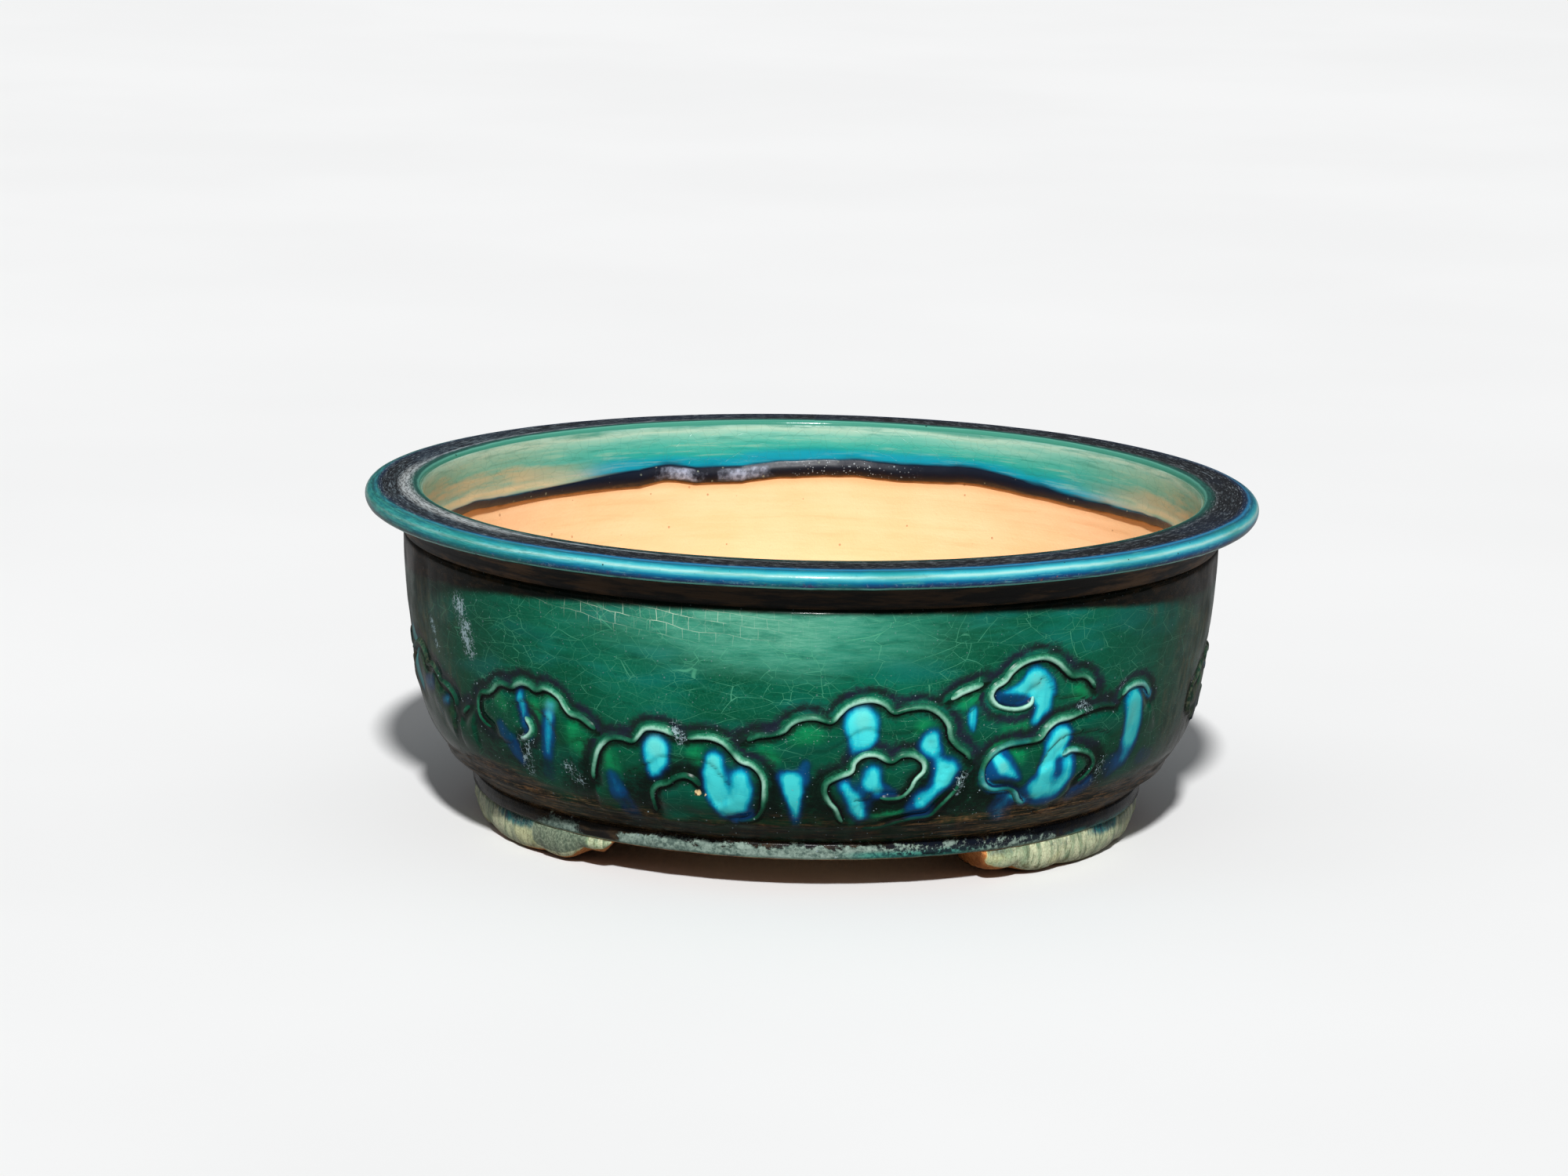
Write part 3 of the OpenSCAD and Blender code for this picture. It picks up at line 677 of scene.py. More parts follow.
def glaze_wall(name, ridge=False):
    """Green crackle glaze with the frieze's splashes, halos, lime and brown foot, and painted light: a sheen high on
    the front, highlights on the splashes, the rim's shadow on the neck and darker sides.
    """
    g = Mat(name)
    halo, turq, blue = g.attr_rgb("gl_a")[:3]
    splash_top_highlight, fresh, pale = g.attr_rgb("gl_b")[:3]
    low, lime, crk = g.attr_rgb("gl_c")[:3]
    streak = g.noise(16, 4, 0.6, k=(1, 1, 5.0), dist=0.3)        # drawn out round the pot
    runs = g.noise(4.5, 3, 0.6, k=(1, 1, 0.22))                  # runs down the pot
    cloudy = g.noise(45, 3, 0.5, k=(1, 1, 1.6))
    fine = g.noise(1.5, 4, 0.68)
    hair = g.noise(2.6, 4, 0.75, k=(0.5, 0.5, 4.0), dist=0.6)
    dep = g.depth()
    # body green
    base = g.mix(g.step(cloudy, 0.34, 0.68), srgb(4, 84, 58), srgb(8, 106, 80))
    base = g.mix(g.mul(g.step(streak, 0.5, 0.74), 0.45), base, srgb(22, 122, 100))
    base = g.mix(g.mul(g.step(streak, 0.46, 0.26), 0.6), base, srgb(2, 62, 44))
    base = g.mix(g.mul(g.step(hair, 0.54, 0.74), 0.28), base, srgb(36, 130, 98))
    base = g.mix(g.mul(g.step(fine, 0.52, 0.74), 0.42), base, srgb(2, 48, 34))
    base = g.mix(g.mul(g.step(g.noise(0.8, 3, 0.7, shift=(.23, .41, .07)), 0.56, 0.7), 0.3), base, srgb(48, 140, 112))
    tealy = g.mul(g.step(g.noise(38, 2, 0.5, k=(1, 1, 3.2), shift=(.3, .1, .2)), 0.48, 0.68), 0.5)
    base = g.mix(tealy, base, srgb(16, 116, 108))
    # the frieze's ground is a deeper green
    deep = g.step(g.add(dep, g.mul(g.sub(streak, 0.5), 16.0)), 42, 64)
    base = g.mix(g.mul(deep, 0.66), base, srgb(2, 60, 34))
    # painted highlight near the top: a pale sheen standing in for reflected sky and sun
    base = g.mix(g.mul(g.step(pale, 0.0, 0.8), g.step(streak, 0.3, 0.6, 0.45, 0.85)), base, srgb(26, 146, 122))
    front_sheen_paint = g.mul(pale, g.step(g.add(streak, g.mul(hair, 0.35)), 0.40, 0.86, 0.30, 1.0))
    base = g.mix(g.mul(front_sheen_paint, 0.8), base, g.mix(g.step(hair, 0.4, 0.65), srgb(92, 162, 134), srgb(118, 184, 156)))
    # crackle: long drawn lines with short ones across, whitened where the glaze is thin
    w1 = g.warp(9, 1.2)
    w2 = g.warp(30, 4.0, k=(1, 1, 1.4))
    c1 = g.cracks(4.8, 0.08, vec=w1, k=(0.8, 0.8, 1.45))
    c2 = g.cracks(13, 0.15, vec=w2, k=(0.8, 0.8, 2.3), shift=(.02, .03, .01))
    c3 = g.cracks(2.3, 0.09, vec=w1, shift=(.05, .01, .03))
    net = g.step(g.noise(30, 2, 0.5, shift=(.2, .5, .1)), 0.38, 0.62)
    lines = g.mx(g.mul(c1, g.math("MULTIPLY_ADD", net, 0.45, 0.30)), g.mul(c2, 0.78))
    lines = g.mx(lines, g.mul(c3, g.mul(g.step(g.noise(40, 2, 0.5, shift=(.7, .2, .4)), 0.5, 0.66), 0.3)))
    lines = g.mul(lines, g.step(g.noise(10, 3, 0.6, shift=(.4, .4, .9)), 0.34, 0.62, 0.25, 1.0))
    lines = g.mul(lines, g.step(dep, 70, 44, 0.45, 1.0))
    base = g.mix(g.mul(lines, 0.78), base, srgb(92, 178, 140))
    cw = g.ladder(5.4, 3.7, 0.25, g.warp(17, 1.9), tilt=0.13)
    cwt = g.cracks(4.2, 0.1, vec=w1, shift=(.31, .2, .1))
    cw = g.mul(cw, g.step(g.noise(7, 3, 0.6, shift=(.6, .1, .9)), 0.38, 0.54, 0.15, 1.0))
    base = g.mix(g.mul(g.mx(cw, g.mul(cwt, 0.15)), crk), base, srgb(204, 226, 200))
    # pooled dark glaze round the raised lines
    fr = g.step(g.add(runs, g.mul(g.sub(hair, 0.5), 0.6)), 0.32, 0.66, 0.35, 1.0)
    base = g.mix(g.mul(fresh, g.mul(fr, 0.8)), base, srgb(14, 140, 84))
    mid = g.noise(3.4, 3, 0.7, shift=(.61, .2, .37))
    gh = g.step(halo, 0.0, 0.35)
    h1 = g.add(halo, g.mul(g.mul(g.sub(fine, 0.5), 0.95), gh))
    h1 = g.add(h1, g.mul(g.mul(g.sub(hair, 0.5), 0.6), gh))
    h1 = g.add(h1, g.mul(g.mul(g.sub(mid, 0.5), 0.8), gh))
    h2 = g.step(h1, 0.06, 0.98)
    inn = g.attr_rgb("gl_e")[2]
    dark = g.mix(g.step(g.noise(9, 2, 0.5), 0.4, 0.62), srgb(24, 34, 34), srgb(30, 32, 50))
    dark = g.mix(g.mul(g.step(fine, 0.5, 0.75), 0.5), dark, srgb(40, 54, 66))
    dark = g.mix(g.step(inn, 0.1, 0.7), dark, g.mix(g.step(fine, 0.45, 0.7), srgb(9, 20, 15), srgb(16, 36, 26)))
    dark = g.mix(g.mul(g.step(dep, 74, 86), 0.8), dark, g.mix(g.step(hair, 0.5, 0.7), srgb(7, 16, 11), srgb(18, 34, 20)))
    base = g.mix(g.mul(h2, 0.97), base, dark)
    # splashes
    fb = g.add(g.mul(g.sub(runs, 0.5), 0.45), g.mul(g.sub(fine, 0.5), 0.22))
    bm = g.step(g.add(blue, g.mul(fb, g.step(blue, 0.0, 0.3))), 0.10, 0.95)
    base = g.mix(g.mul(bm, 0.9), base, g.mix(g.step(g.add(blue, fb), 0.35, 1.05), srgb(5, 30, 66), srgb(8, 78, 136)))
    tm = g.step(g.add(turq, g.mul(fb, g.mul(g.step(turq, 0.0, 0.3), 0.8))), 0.02, 0.97)
    tcol = g.ramp(g.add(tm, g.mul(g.sub(runs, 0.5), 0.26)),
                  [(0.0, srgb(6, 60, 104)), (0.3, srgb(7, 90, 146)), (0.62, srgb(10, 140, 180)), (0.9, srgb(28, 188, 206)), (1.0, srgb(72, 222, 224))])
    base = g.mix(g.step(tm, 0.0, 0.9), base, tcol)
    # painted highlight: pale tops of the splashes
    splash_highlight_mask = g.step(g.add(splash_top_highlight, g.mul(g.sub(fine, 0.5), 0.25)), 0.05, 1.0)
    base = g.mix(g.mul(splash_highlight_mask, 0.75), base, srgb(112, 222, 212))
    # fine crackle shows through the splashes as thin darker lines
    base = g.mix(g.mul(g.mul(c1, tm), 0.12), base, srgb(10, 110, 150))
    # brown foot of the wall
    sx0 = g.math("ABSOLUTE", g.xyz()[0])
    lo = g.step(g.add(low, g.mul(g.sub(streak, 0.5), 0.8)), 0.15, 0.9)
    brown = g.mix(g.step(g.noise(7, 4, 0.65, k=(0.7, 0.7, 6)), 0.5, 0.72), srgb(14, 15, 9), srgb(70, 52, 32))
    brown = g.mix(g.mul(g.step(cloudy, 0.42, 0.6), 0.6), brown, srgb(8, 22, 14))
    bst = g.mul(g.step(g.noise(4.5, 4, 0.7, k=(0.45, 0.45, 7), shift=(.8, .3, .2)), 0.46, 0.62), g.mx(g.step(g.xyz()[0], 0.005, 0.07, 0.25, 1.0), g.step(g.xyz()[0], -0.05, -0.09)))
    brown = g.mix(g.mul(bst, 0.85), brown, g.mix(g.step(fine, 0.4, 0.65), srgb(104, 74, 46), srgb(158, 116, 74)))
    bs2 = g.mul(g.step(g.noise(1.6, 3, 0.7, k=(0.3, 0.3, 4), shift=(.4, .9, .2)), 0.54, 0.68), g.step(sx0, 0.03, 0.085, 0.15, 1.0))
    brown = g.mix(g.mul(bs2, 0.7), brown, srgb(150, 122, 88))
    grn = g.mul(g.step(sx0, 0.085, 0.02), g.step(g.noise(10, 3, 0.6, k=(1, 1, 3), shift=(.3, .3, .6)), 0.44, 0.6))
    brown = g.mix(g.mul(grn, 0.7), brown, srgb(10, 44, 26))
    base = g.mix(g.mul(lo, g.inv(g.mul(bm, 0.55))), base, brown)
    # painted shade and reflection down the sides: the glaze darkens towards the sides, with brown streaks there
    # standing in for dark surroundings reflected in the glaze
    sx = g.math("ABSOLUTE", g.xyz()[0])
    base = g.mix(g.mul(g.step(g.add(sx, g.mul(g.sub(cloudy, 0.5), 0.03)), 0.082, 0.122), 0.42), base, srgb(3, 34, 28))
    sd = g.mul(g.step(g.add(sx, g.mul(g.sub(runs, 0.5), 0.030)), 0.108, 0.131), g.step(g.noise(24, 3, 0.6, shift=(.2, .8, .5)), 0.3, 0.62, 0.35, 0.9))
    base = g.mix(g.mul(g.mul(sd, g.inv(g.mul(tm, 0.8))), 0.72), base, g.mix(g.step(g.noise(3.5, 4, 0.7, k=(1, 1, 0.5)), 0.42, 0.68), srgb(24, 24, 15), srgb(104, 88, 62)))
    # painted shadow of the rim on the neck: dark, reaching lower towards the sides as the cast shadow does; brown
    # streaks near the ends stand in for reflected surroundings
    ax = g.math("POWER", g.mul(g.math("ABSOLUTE", g.xyz()[0]), 7.3), 3.0)
    neck_rim_shadow = g.step(g.sub(g.add(dep, g.mul(g.sub(streak, 0.5), 2.0)), g.mul(ax, 9.5)), 18.2, 15.6)
    nb = g.noise(3.4, 4, 0.68, k=(0.6, 0.6, 1.5), shift=(.5, .1, .1))
    base = g.mix(g.mul(neck_rim_shadow, 0.96), base, g.mix(g.mul(g.step(nb, 0.44, 0.66), g.step(ax, 0.15, 0.7, 0.3, 1.0)), g.mix(g.step(ax, 0.2, 0.8), srgb(7, 7, 4), srgb(28, 20, 11)), srgb(70, 50, 30)))
    # flecks and lime
    sp = g.mx(g.specks(2.4, 0.15, 0.3), g.specks(1.2, 0.22, 0.2, shift=(.1, .2, .3)))
    sp = g.mul(sp, g.mx(g.mul(h2, g.step(g.noise(16, 2, 0.5, shift=(.9, .1, .3)), 0.32, 0.52)), 0.24))
    base = g.mix(g.mul(sp, 0.9), base, srgb(158, 178, 186))
    lnoise = g.add(g.mul(g.noise(1.0, 4, 0.75, shift=(.7, .7, .1)), 0.6), g.mul(g.noise(3.4, 3, 0.7, k=(1.3, 1.3, 0.7)), 0.6))
    lm = g.mul(g.step(lime, 0.05, 0.5), g.step(g.add(lnoise, g.mul(lime, 0.16)), 0.735, 0.80))
    lm = g.mx(lm, g.mul(g.step(lime, 0.1, 0.6), g.mul(g.cracks(1.9, 0.14, vec=w1, shift=(.4, .3, .2)), g.step(lnoise, 0.5, 0.66, 0.0, 0.9))))
    lm = g.mx(lm, g.mul(g.step(lime, 0.02, 0.25), g.specks(0.9, 0.3, 0.3, shift=(.5, .2, .6))))
    base = g.mix(g.mul(lm, 0.85), base, srgb(168, 194, 200))
    rough = g.math("MULTIPLY_ADD", fine, 0.10, 0.10)
    rough = g.mx(rough, g.mul(lm, 0.8))
    rough = g.mx(rough, g.mul(lo, g.step(streak, 0.4, 0.7, 0.3, 0.55)))
    rough = g.mx(rough, g.mul(sd, 0.5))
    n1 = g.bump(g.noise(14, 2, 0.5), 0.20)
    n2 = g.bump(g.noise(3.0, 3, 0.5), 0.03, n1)
    n3 = g.bump(g.inv(g.mx(g.mul(c2, 0.5), g.mul(cw, crk))), 0.04, n2)
    n4 = g.bump(g.add(lm, g.mul(sp, 0.6)), 0.16, n3)
    if ridge:
        d, b, s = g.attr_rgb("gl_d")[:3]      # across (0 outside .. 1 inside), paleness, height
        brush = g.noise(1.3, 3, 0.65)
        fuzz = g.add(g.mul(g.sub(brush, 0.5), 0.30), g.mul(g.sub(fine, 0.5), 0.12))
        b2 = g.add(b, g.mul(g.sub(g.noise(7, 3, 0.65), 0.5), 0.75))
        # green wash on the outer slope, pale line at the inner edge (thin glaze, partly a painted highlight), then dark
        wash = g.mul(g.step(g.add(d, fuzz), 0.04, 0.50), g.step(g.add(d, g.mul(fuzz, 0.25)), 0.76, 0.67))
        crest = g.mul(g.step(g.add(d, g.mul(fuzz, 0.85)), 0.30, 0.60), g.step(g.add(d, g.mul(fuzz, 0.2)), 0.735, 0.655))
        gcol = g.mix(g.step(b2, 0.0, 0.9), srgb(6, 66, 44), srgb(40, 146, 106))
        gcol = g.mix(g.mul(turq, 0.6), gcol, srgb(40, 165, 180))
        ccol = g.mix(g.step(b2, 0.1, 1.05), srgb(30, 122, 88), srgb(176, 224, 204))
        ccol = g.mix(g.mul(tm, 0.7), ccol, g.mix(g.step(b2, 0.3, 0.9), srgb(40, 170, 184), srgb(150, 222, 218)))
        inner = g.mix(g.mul(g.mx(tm, g.mul(bm, 0.8)), 0.9), srgb(12, 12, 13), srgb(8, 50, 92))
        rc = g.mix(g.step(d, 0.5, 0.62), dark, inner)
        keep = g.inv(g.mul(lo, 0.8))
        rc = g.mix(g.mul(g.mul(wash, g.step(b2, -0.2, 0.35, 0.25, 0.92)), keep), rc, gcol)
        rc = g.mix(g.mul(g.mul(crest, g.step(b2, 0.0, 0.85, 0.12, 1.0)), keep), rc, ccol)
        # painted shade and reflection down the sides, as on the wall: dark with brown streaks
        rc = g.mix(g.mul(g.step(g.add(sx, g.mul(g.sub(runs, 0.5), 0.02)), 0.112, 0.129), 0.82), rc, g.mix(g.step(fine, 0.4, 0.65), srgb(26, 36, 30), srgb(78, 78, 62)))
        rc = g.mix(g.mul(sp, 0.5), rc, srgb(150, 170, 178))
        rc = g.mix(g.mul(lm, 0.8), rc, srgb(168, 194, 200))
        base = rc
        rough = g.mx(rough, g.math("MULTIPLY_ADD", brush, 0.2, 0.2))
    else:
        chip = g.attr_rgb("gl_e")[1]
        cm = g.step(g.add(chip, g.mul(g.sub(fine, 0.5), 0.8)), 0.35, 0.5)
        base = g.mix(cm, base, g.mix(g.step(fine, 0.4, 0.6), srgb(60, 44, 26), srgb(232, 204, 150)))
        rough = g.mx(rough, g.mul(cm, 0.8))
    return g.finish(base, rough, n4, coat=0.0, spec=0.11)


# ------------------------------------------------------------------ the wall
def slope_normal(z):
    """Outward normal of the wall's outside at height z as (radial, up)."""
    e = 0.4
    dr = (out_r(z + e) - out_r(z - e)) / (2*e)
    n = np.hypot(1, dr)
    return 1/n, -dr/n


def glaze_edge(t):
    """Height of the thick glaze's lower edge inside the mouth, at angle t."""
    p = spot(t, 129.0, 93.0)
    ts = (t + 360) % 360 - 180          # 0 at the back
    w = 1.6 + 1.5*fnoise(p, 34, 2) + 0.75*fnoise(p + 90, 11, 2)
    for c, wd, h in [(15, 7, -2.0), (23.5, 3.5, 0.9), (33, 5.5, -2.3), (-6, 9, 1.2), (-26, 8, 1.3),
                     (6, 5, 0.8), (45, 9, -0.9), (-52, 12, -0.8), (66, 12, -0.5)]:
        w = w + h*np.exp(-((ts - c)/wd)**2)
    return 91.0 + np.clip(w, 0.0, 4.2)


def build_wall():
    zo = np.concatenate([[17.0, 18.2, 19.6, 21.2], np.arange(22.6, 80.0, 0.86), [81, 83, 85.5, 88.5, 91.5, 95, 98.0]])
    zi = np.concatenate([[98.0, 96.6, 95.2, 93.8, 92.4, 91.0, 89.6, 88.2, 86.5], np.linspace(84, 21.5, 17)])
    prof = [(float(out_r(z)), z, 1) for z in zo] + [(float(in_r(z)), z, 0) for z in zi] + [(108.0, 19.0, 2), (108.0, 17.0, 2), (111.0, 17.0, 2)]
    n = 800
    while 2*n*len(prof) > 198000:
        n -= 8
    t = np.arange(n)*360.0/n
    T = np.repeat(t[None, :], len(prof), 0)
    R = np.repeat(np.array([p[0] for p in prof])[:, None], n, 1)
    Z = np.repeat(np.array([p[1] for p in prof])[:, None], n, 1)
    kind = np.repeat(np.array([p[2] for p in prof])[:, None], n, 1)
    outer = kind == 1
    to, zo2 = T[outer], Z[outer]
    m = frieze_masks(to, zo2)
    d, inside = m["dist"], m["side"] < 0
    base = spot(to, out_r(zo2), zo2)
    disp = np.where(inside, -0.42, -0.30)*np.exp(-((np.abs(d) - 2.0)/1.0)**2)
    disp = disp + np.where(inside, 0.75*sstep(1.8, 5.5, d)*(1 - sstep(7.5, 15, d)), 0)
    disp = disp + 0.14*fnoise(base, 26, 2, (1, 1, 1.6)) + 0.05*fnoise(base, 7, 2, (1, 1, 3.5))
    dep = RIM_Z - zo2
    rings = np.sin(zo2*2*math.pi/4.1 + 1.5*fnoise(base, 60, 1)) * 0.10 + fnoise(base, 5.0, 2, (0.12, 0.12, 1.6))*0.24
    disp = disp + rings*sstep(76, 90, dep)
    # the rolled edge round the foot of the wall
    disp = disp + 0.7*np.exp(-((zo2 - 24.2 - 0.5*fnoise(base, 40, 1))/1.2)**2) - 0.6*np.exp(-((zo2 - 21.6)/0.9)**2)
    # a small chip that bares the clay
    chip = np.hypot(((to + 15.5 + 180) % 360 - 180)*out_r(zo2)*math.pi/180, (dep - 78.0)*1.25)
    disp = disp - 0.35*(1 - sstep(0.4, 1.3, chip))
    fade = sstep(17.0, 20.5, zo2) * (1 - sstep(95, 98, zo2)*0.9)
    disp = disp*fade
    nr, nz = slope_normal(zo2)
    R[outer] += disp*nr - 1.5*(1 - sstep(17.0, 25.5, zo2))
    Z[outer] += disp*nz*(zo2 > 17.01)*(zo2 < 97.9)
    inner = kind == 0
    bi = spot(T[inner], R[inner], Z[inner])
    zi2 = Z[inner]
    thr = (0.16*np.sin(zi2*2*math.pi/5.2 + 0.6*np.radians(T[inner])*0 + 1.2*fnoise(bi, 80, 1)) + 0.10*fnoise(bi, 9, 2, (0.15, 0.15, 1.4)))
    R[inner] += thr*sstep(22, 27, zi2)*(1 - sstep(89, 92, zi2))
    P = spot(T, R, Z)
    shape = P.shape[:2]

    def full(key, fill=0.0):
        a = np.full(shape, fill)
        a[outer] = m[key]
        return a.reshape(-1)
    low = full("low")
    low = np.maximum(low, (kind == 2).reshape(-1)*1.0)
    ed = np.zeros(shape)
    ed[inner] = np.clip((glaze_edge(T[inner]) - Z[inner])/12.0 + 0.25, 0, 1)
    chipm = np.zeros(shape)
    c2 = np.hypot(((to + 14.55 + 180) % 360 - 180)*out_r(zo2)*math.pi/180, dep - 78.3)
    chipm[outer] = np.maximum(1 - sstep(0.5, 1.5, chip), 0.8*(1 - sstep(0.1, 0.9, c2)))
    at = {"gl_a": np.stack([full("halo"), full("turq"), full("blue")], -1),
          "gl_b": np.stack([full("splash_top_highlight"), full("fresh"), full("pale")], -1),
          "gl_c": np.stack([low, full("lime"), full("crk")], -1),
          "gl_e": np.stack([ed.reshape(-1), chipm.reshape(-1), full("inner")], -1)}
    ob = grid_mesh("glazed_wall", P, True, True, at)
    me = ob.data
    me.materials.append(glaze_wall("green_crackle_glaze"))
    me.materials.append(bare_clay("bare_clay_inside"))
    nrow = len(prof)
    k = np.array([p[2] for p in prof])
    # a face row runs from profile point v to v + 1
    row_is_clay = np.array([not (k[v] == 1 and k[(v + 1) % nrow] == 1) for v in range(nrow)])
    idx = np.repeat(row_is_clay.astype(np.int32), n)
    me.polygons.foreach_set("material_index", idx)
    return place(ob, "wall_shell")


def bare_clay(name, attr=True):
    g = Mat(name)
    grain = g.noise(0.9, 4, 0.7)
    mott = g.noise(22, 3, 0.55, k=(1, 1, 1.8))
    rings = g.noise(9, 3, 0.6, k=(0.18, 0.18, 2.4))
    pink = g.noise(70, 2, 0.5, shift=(.12, .05, .3))
    c = g.mix(g.step(mott, 0.2, 0.8), srgb(244, 198, 148), srgb(249, 208, 162))
    c = g.mix(g.mul(g.step(pink, 0.45, 0.66), 0.4), c, srgb(250, 198, 152))
    c = g.mix(g.mul(g.step(rings, 0.48, 0.72), 0.18), c, srgb(253, 222, 180))
    c = g.mix(g.mul(g.step(rings, 0.46, 0.3), 0.25), c, srgb(226, 170, 116))
    c = g.mix(g.mul(g.step(grain, 0.6, 0.78), 0.35), c, srgb(196, 142, 92))
    sp = g.specks(3.4, 0.16, 0.12)
    c = g.mix(g.mul(sp, 0.55), c, srgb(150, 98, 60))
    if attr:
        ed = g.attr_rgb("gl_e")[0]
        wob = g.mul(g.sub(g.noise(5, 3, 0.6, k=(1, 1, 2)), 0.5), 0.10)
        e = g.add(ed, wob)
        st = g.mul(g.step(e, 0.62, 0.30), g.step(ed, 0.0, 0.02))
        c = g.mix(g.mul(st, 0.45), c, srgb(214, 152, 96))
        tight = g.mul(g.step(e, 0.345, 0.26), g.step(ed, 0.0, 0.02))
        c = g.mix(g.mul(tight, 0.85), c, srgb(122, 84, 50))
        z = g.depth()
        # painted shade: the clay darkens deeper in the pot
        c = g.mix(g.mul(g.step(z, 60, 92), 0.35), c, srgb(214, 168, 122))
    h = g.add(g.mul(grain, 0.6), g.mul(rings, 0.8))
    n1 = g.bump(h, 0.22)
    n2 = g.bump(g.inv(sp), 0.12, n1)
    rough = g.math("MULTIPLY_ADD", grain, 0.2, 0.72)
    return g.finish(c, rough, n2, spec=0.25)


# ------------------------------------------------------------------ cloud lines
def build_clouds():
    mat = glaze_wall("cloud_line_glaze", True)
    offs = np.array([-2.3, -1.8, -1.45, -1.15, -0.85, -0.5, -0.15, 0.2, 0.55, 0.85, 1.15, 1.45, 1.8, 2.3])
    byn = {}
    for st in STROKES:
        byn.setdefault(st[0], []).append(st[1:])
    for node, strokes in byn.items():
        V, F, A = [], [], {k: [] for k in ("t", "d", "cross", "pale", "crest")}
        for t, d, b, s in strokes:
            z = RIM_Z - d
            ru, rv = chart_run(t, d)
            rad = np.radians(t)
            east = np.stack([np.cos(rad), np.sin(rad), 0*t], -1)
            nr, nz = slope_normal(z)
            nrm = np.stack([np.sin(rad)*nr, -np.cos(rad)*nr, nz], -1)
            up = np.cross(nrm, east)
            out_dir = east*(-rv)[:, None] + up*ru[:, None]
            run = east*ru[:, None] + up*rv[:, None]
            c = spot(t, out_r(z), z)
            L = s[-1]
            e = np.minimum(s, L - s)
            taper = np.sqrt(np.clip(1 - (1 - np.clip(e/3.0, 0, 1))**2, 0.0025, 1))
            wn = 1 + 0.24*fnoise(c, 9, 2) + 0.09*fnoise(c + 50, 3.5, 1)
            hn = 0.92 + 0.30*fnoise(c + 20, 11, 2)
            side = 0.18*fnoise(c + 70, 8, 2)
            rings = []
            for i in range(len(t)):
                w = (0.9 + 0.12*b[i])*wn[i]*(0.25 + 0.75*taper[i])
                o = offs*w + side[i]
                h = -0.75 + 1.7*hn[i]*np.exp(-(np.abs(offs + 0.15)/1.30)**2.2)
                h = -0.80 + (h + 0.80)*taper[i]
                p = c[i] + out_dir[i]*o[:, None] + nrm[i]*h[:, None]
                low = np.array([c[i] + out_dir[i]*o[-1] - nrm[i]*1.1, c[i] - nrm[i]*1.15, c[i] + out_dir[i]*o[0] - nrm[i]*1.1])
                rings.append(np.concatenate([p, low]))
            K = len(rings[0])
            base = len(V)
            for i, r in enumerate(rings):
                V.extend(r)
                du = (r - c[i]) @ east[i]
                dv = (r - c[i]) @ up[i]
                rr = float(out_r(z[i]))*math.pi/180
                A["t"] += list(t[i] + du/rr)
                A["d"] += list(d[i] - dv)
                A["cross"] += list(0.5 - np.concatenate([offs, [2.3, 0, -2.3]])/4.6)
                A["pale"] += [b[i]]*K
                A["crest"] += list(np.exp(-(np.abs(np.concatenate([offs, [3, 3, 3]]))/1.2)**2)*taper[i])
            n = len(rings)
            for i in range(n - 1):
                for k in range(K):
                    a, b2 = base + i*K + k, base + i*K + (k + 1) % K
                    F.append((a, a + K, b2 + K, b2))
            F.append(tuple(base + k for k in range(K)))
            F.append(tuple(base + (n - 1)*K + k for k in reversed(range(K))))
        V = np.array(V)
        tt, dd = np.array(A["t"]), np.array(A["d"])
        m = frieze_masks(tt, RIM_Z - dd)
        at = {"gl_a": np.stack([m["halo"], m["turq"], m["blue"]], -1),
              "gl_b": np.stack([m["splash_top_highlight"], m["fresh"], m["pale"]], -1),
              "gl_c": np.stack([m["low"], m["lime"], m["crk"]], -1),
              "gl_d": np.stack([np.array(A["cross"]), np.array(A["pale"]), np.array(A["crest"])], -1),
              "gl_e": np.stack([0*tt, 0*tt, m["inner"]], -1)}
        ob = mesh_from(node + "_line", V*MM, F, at)
        ob.data.materials.append(mat)
        place(ob, node)


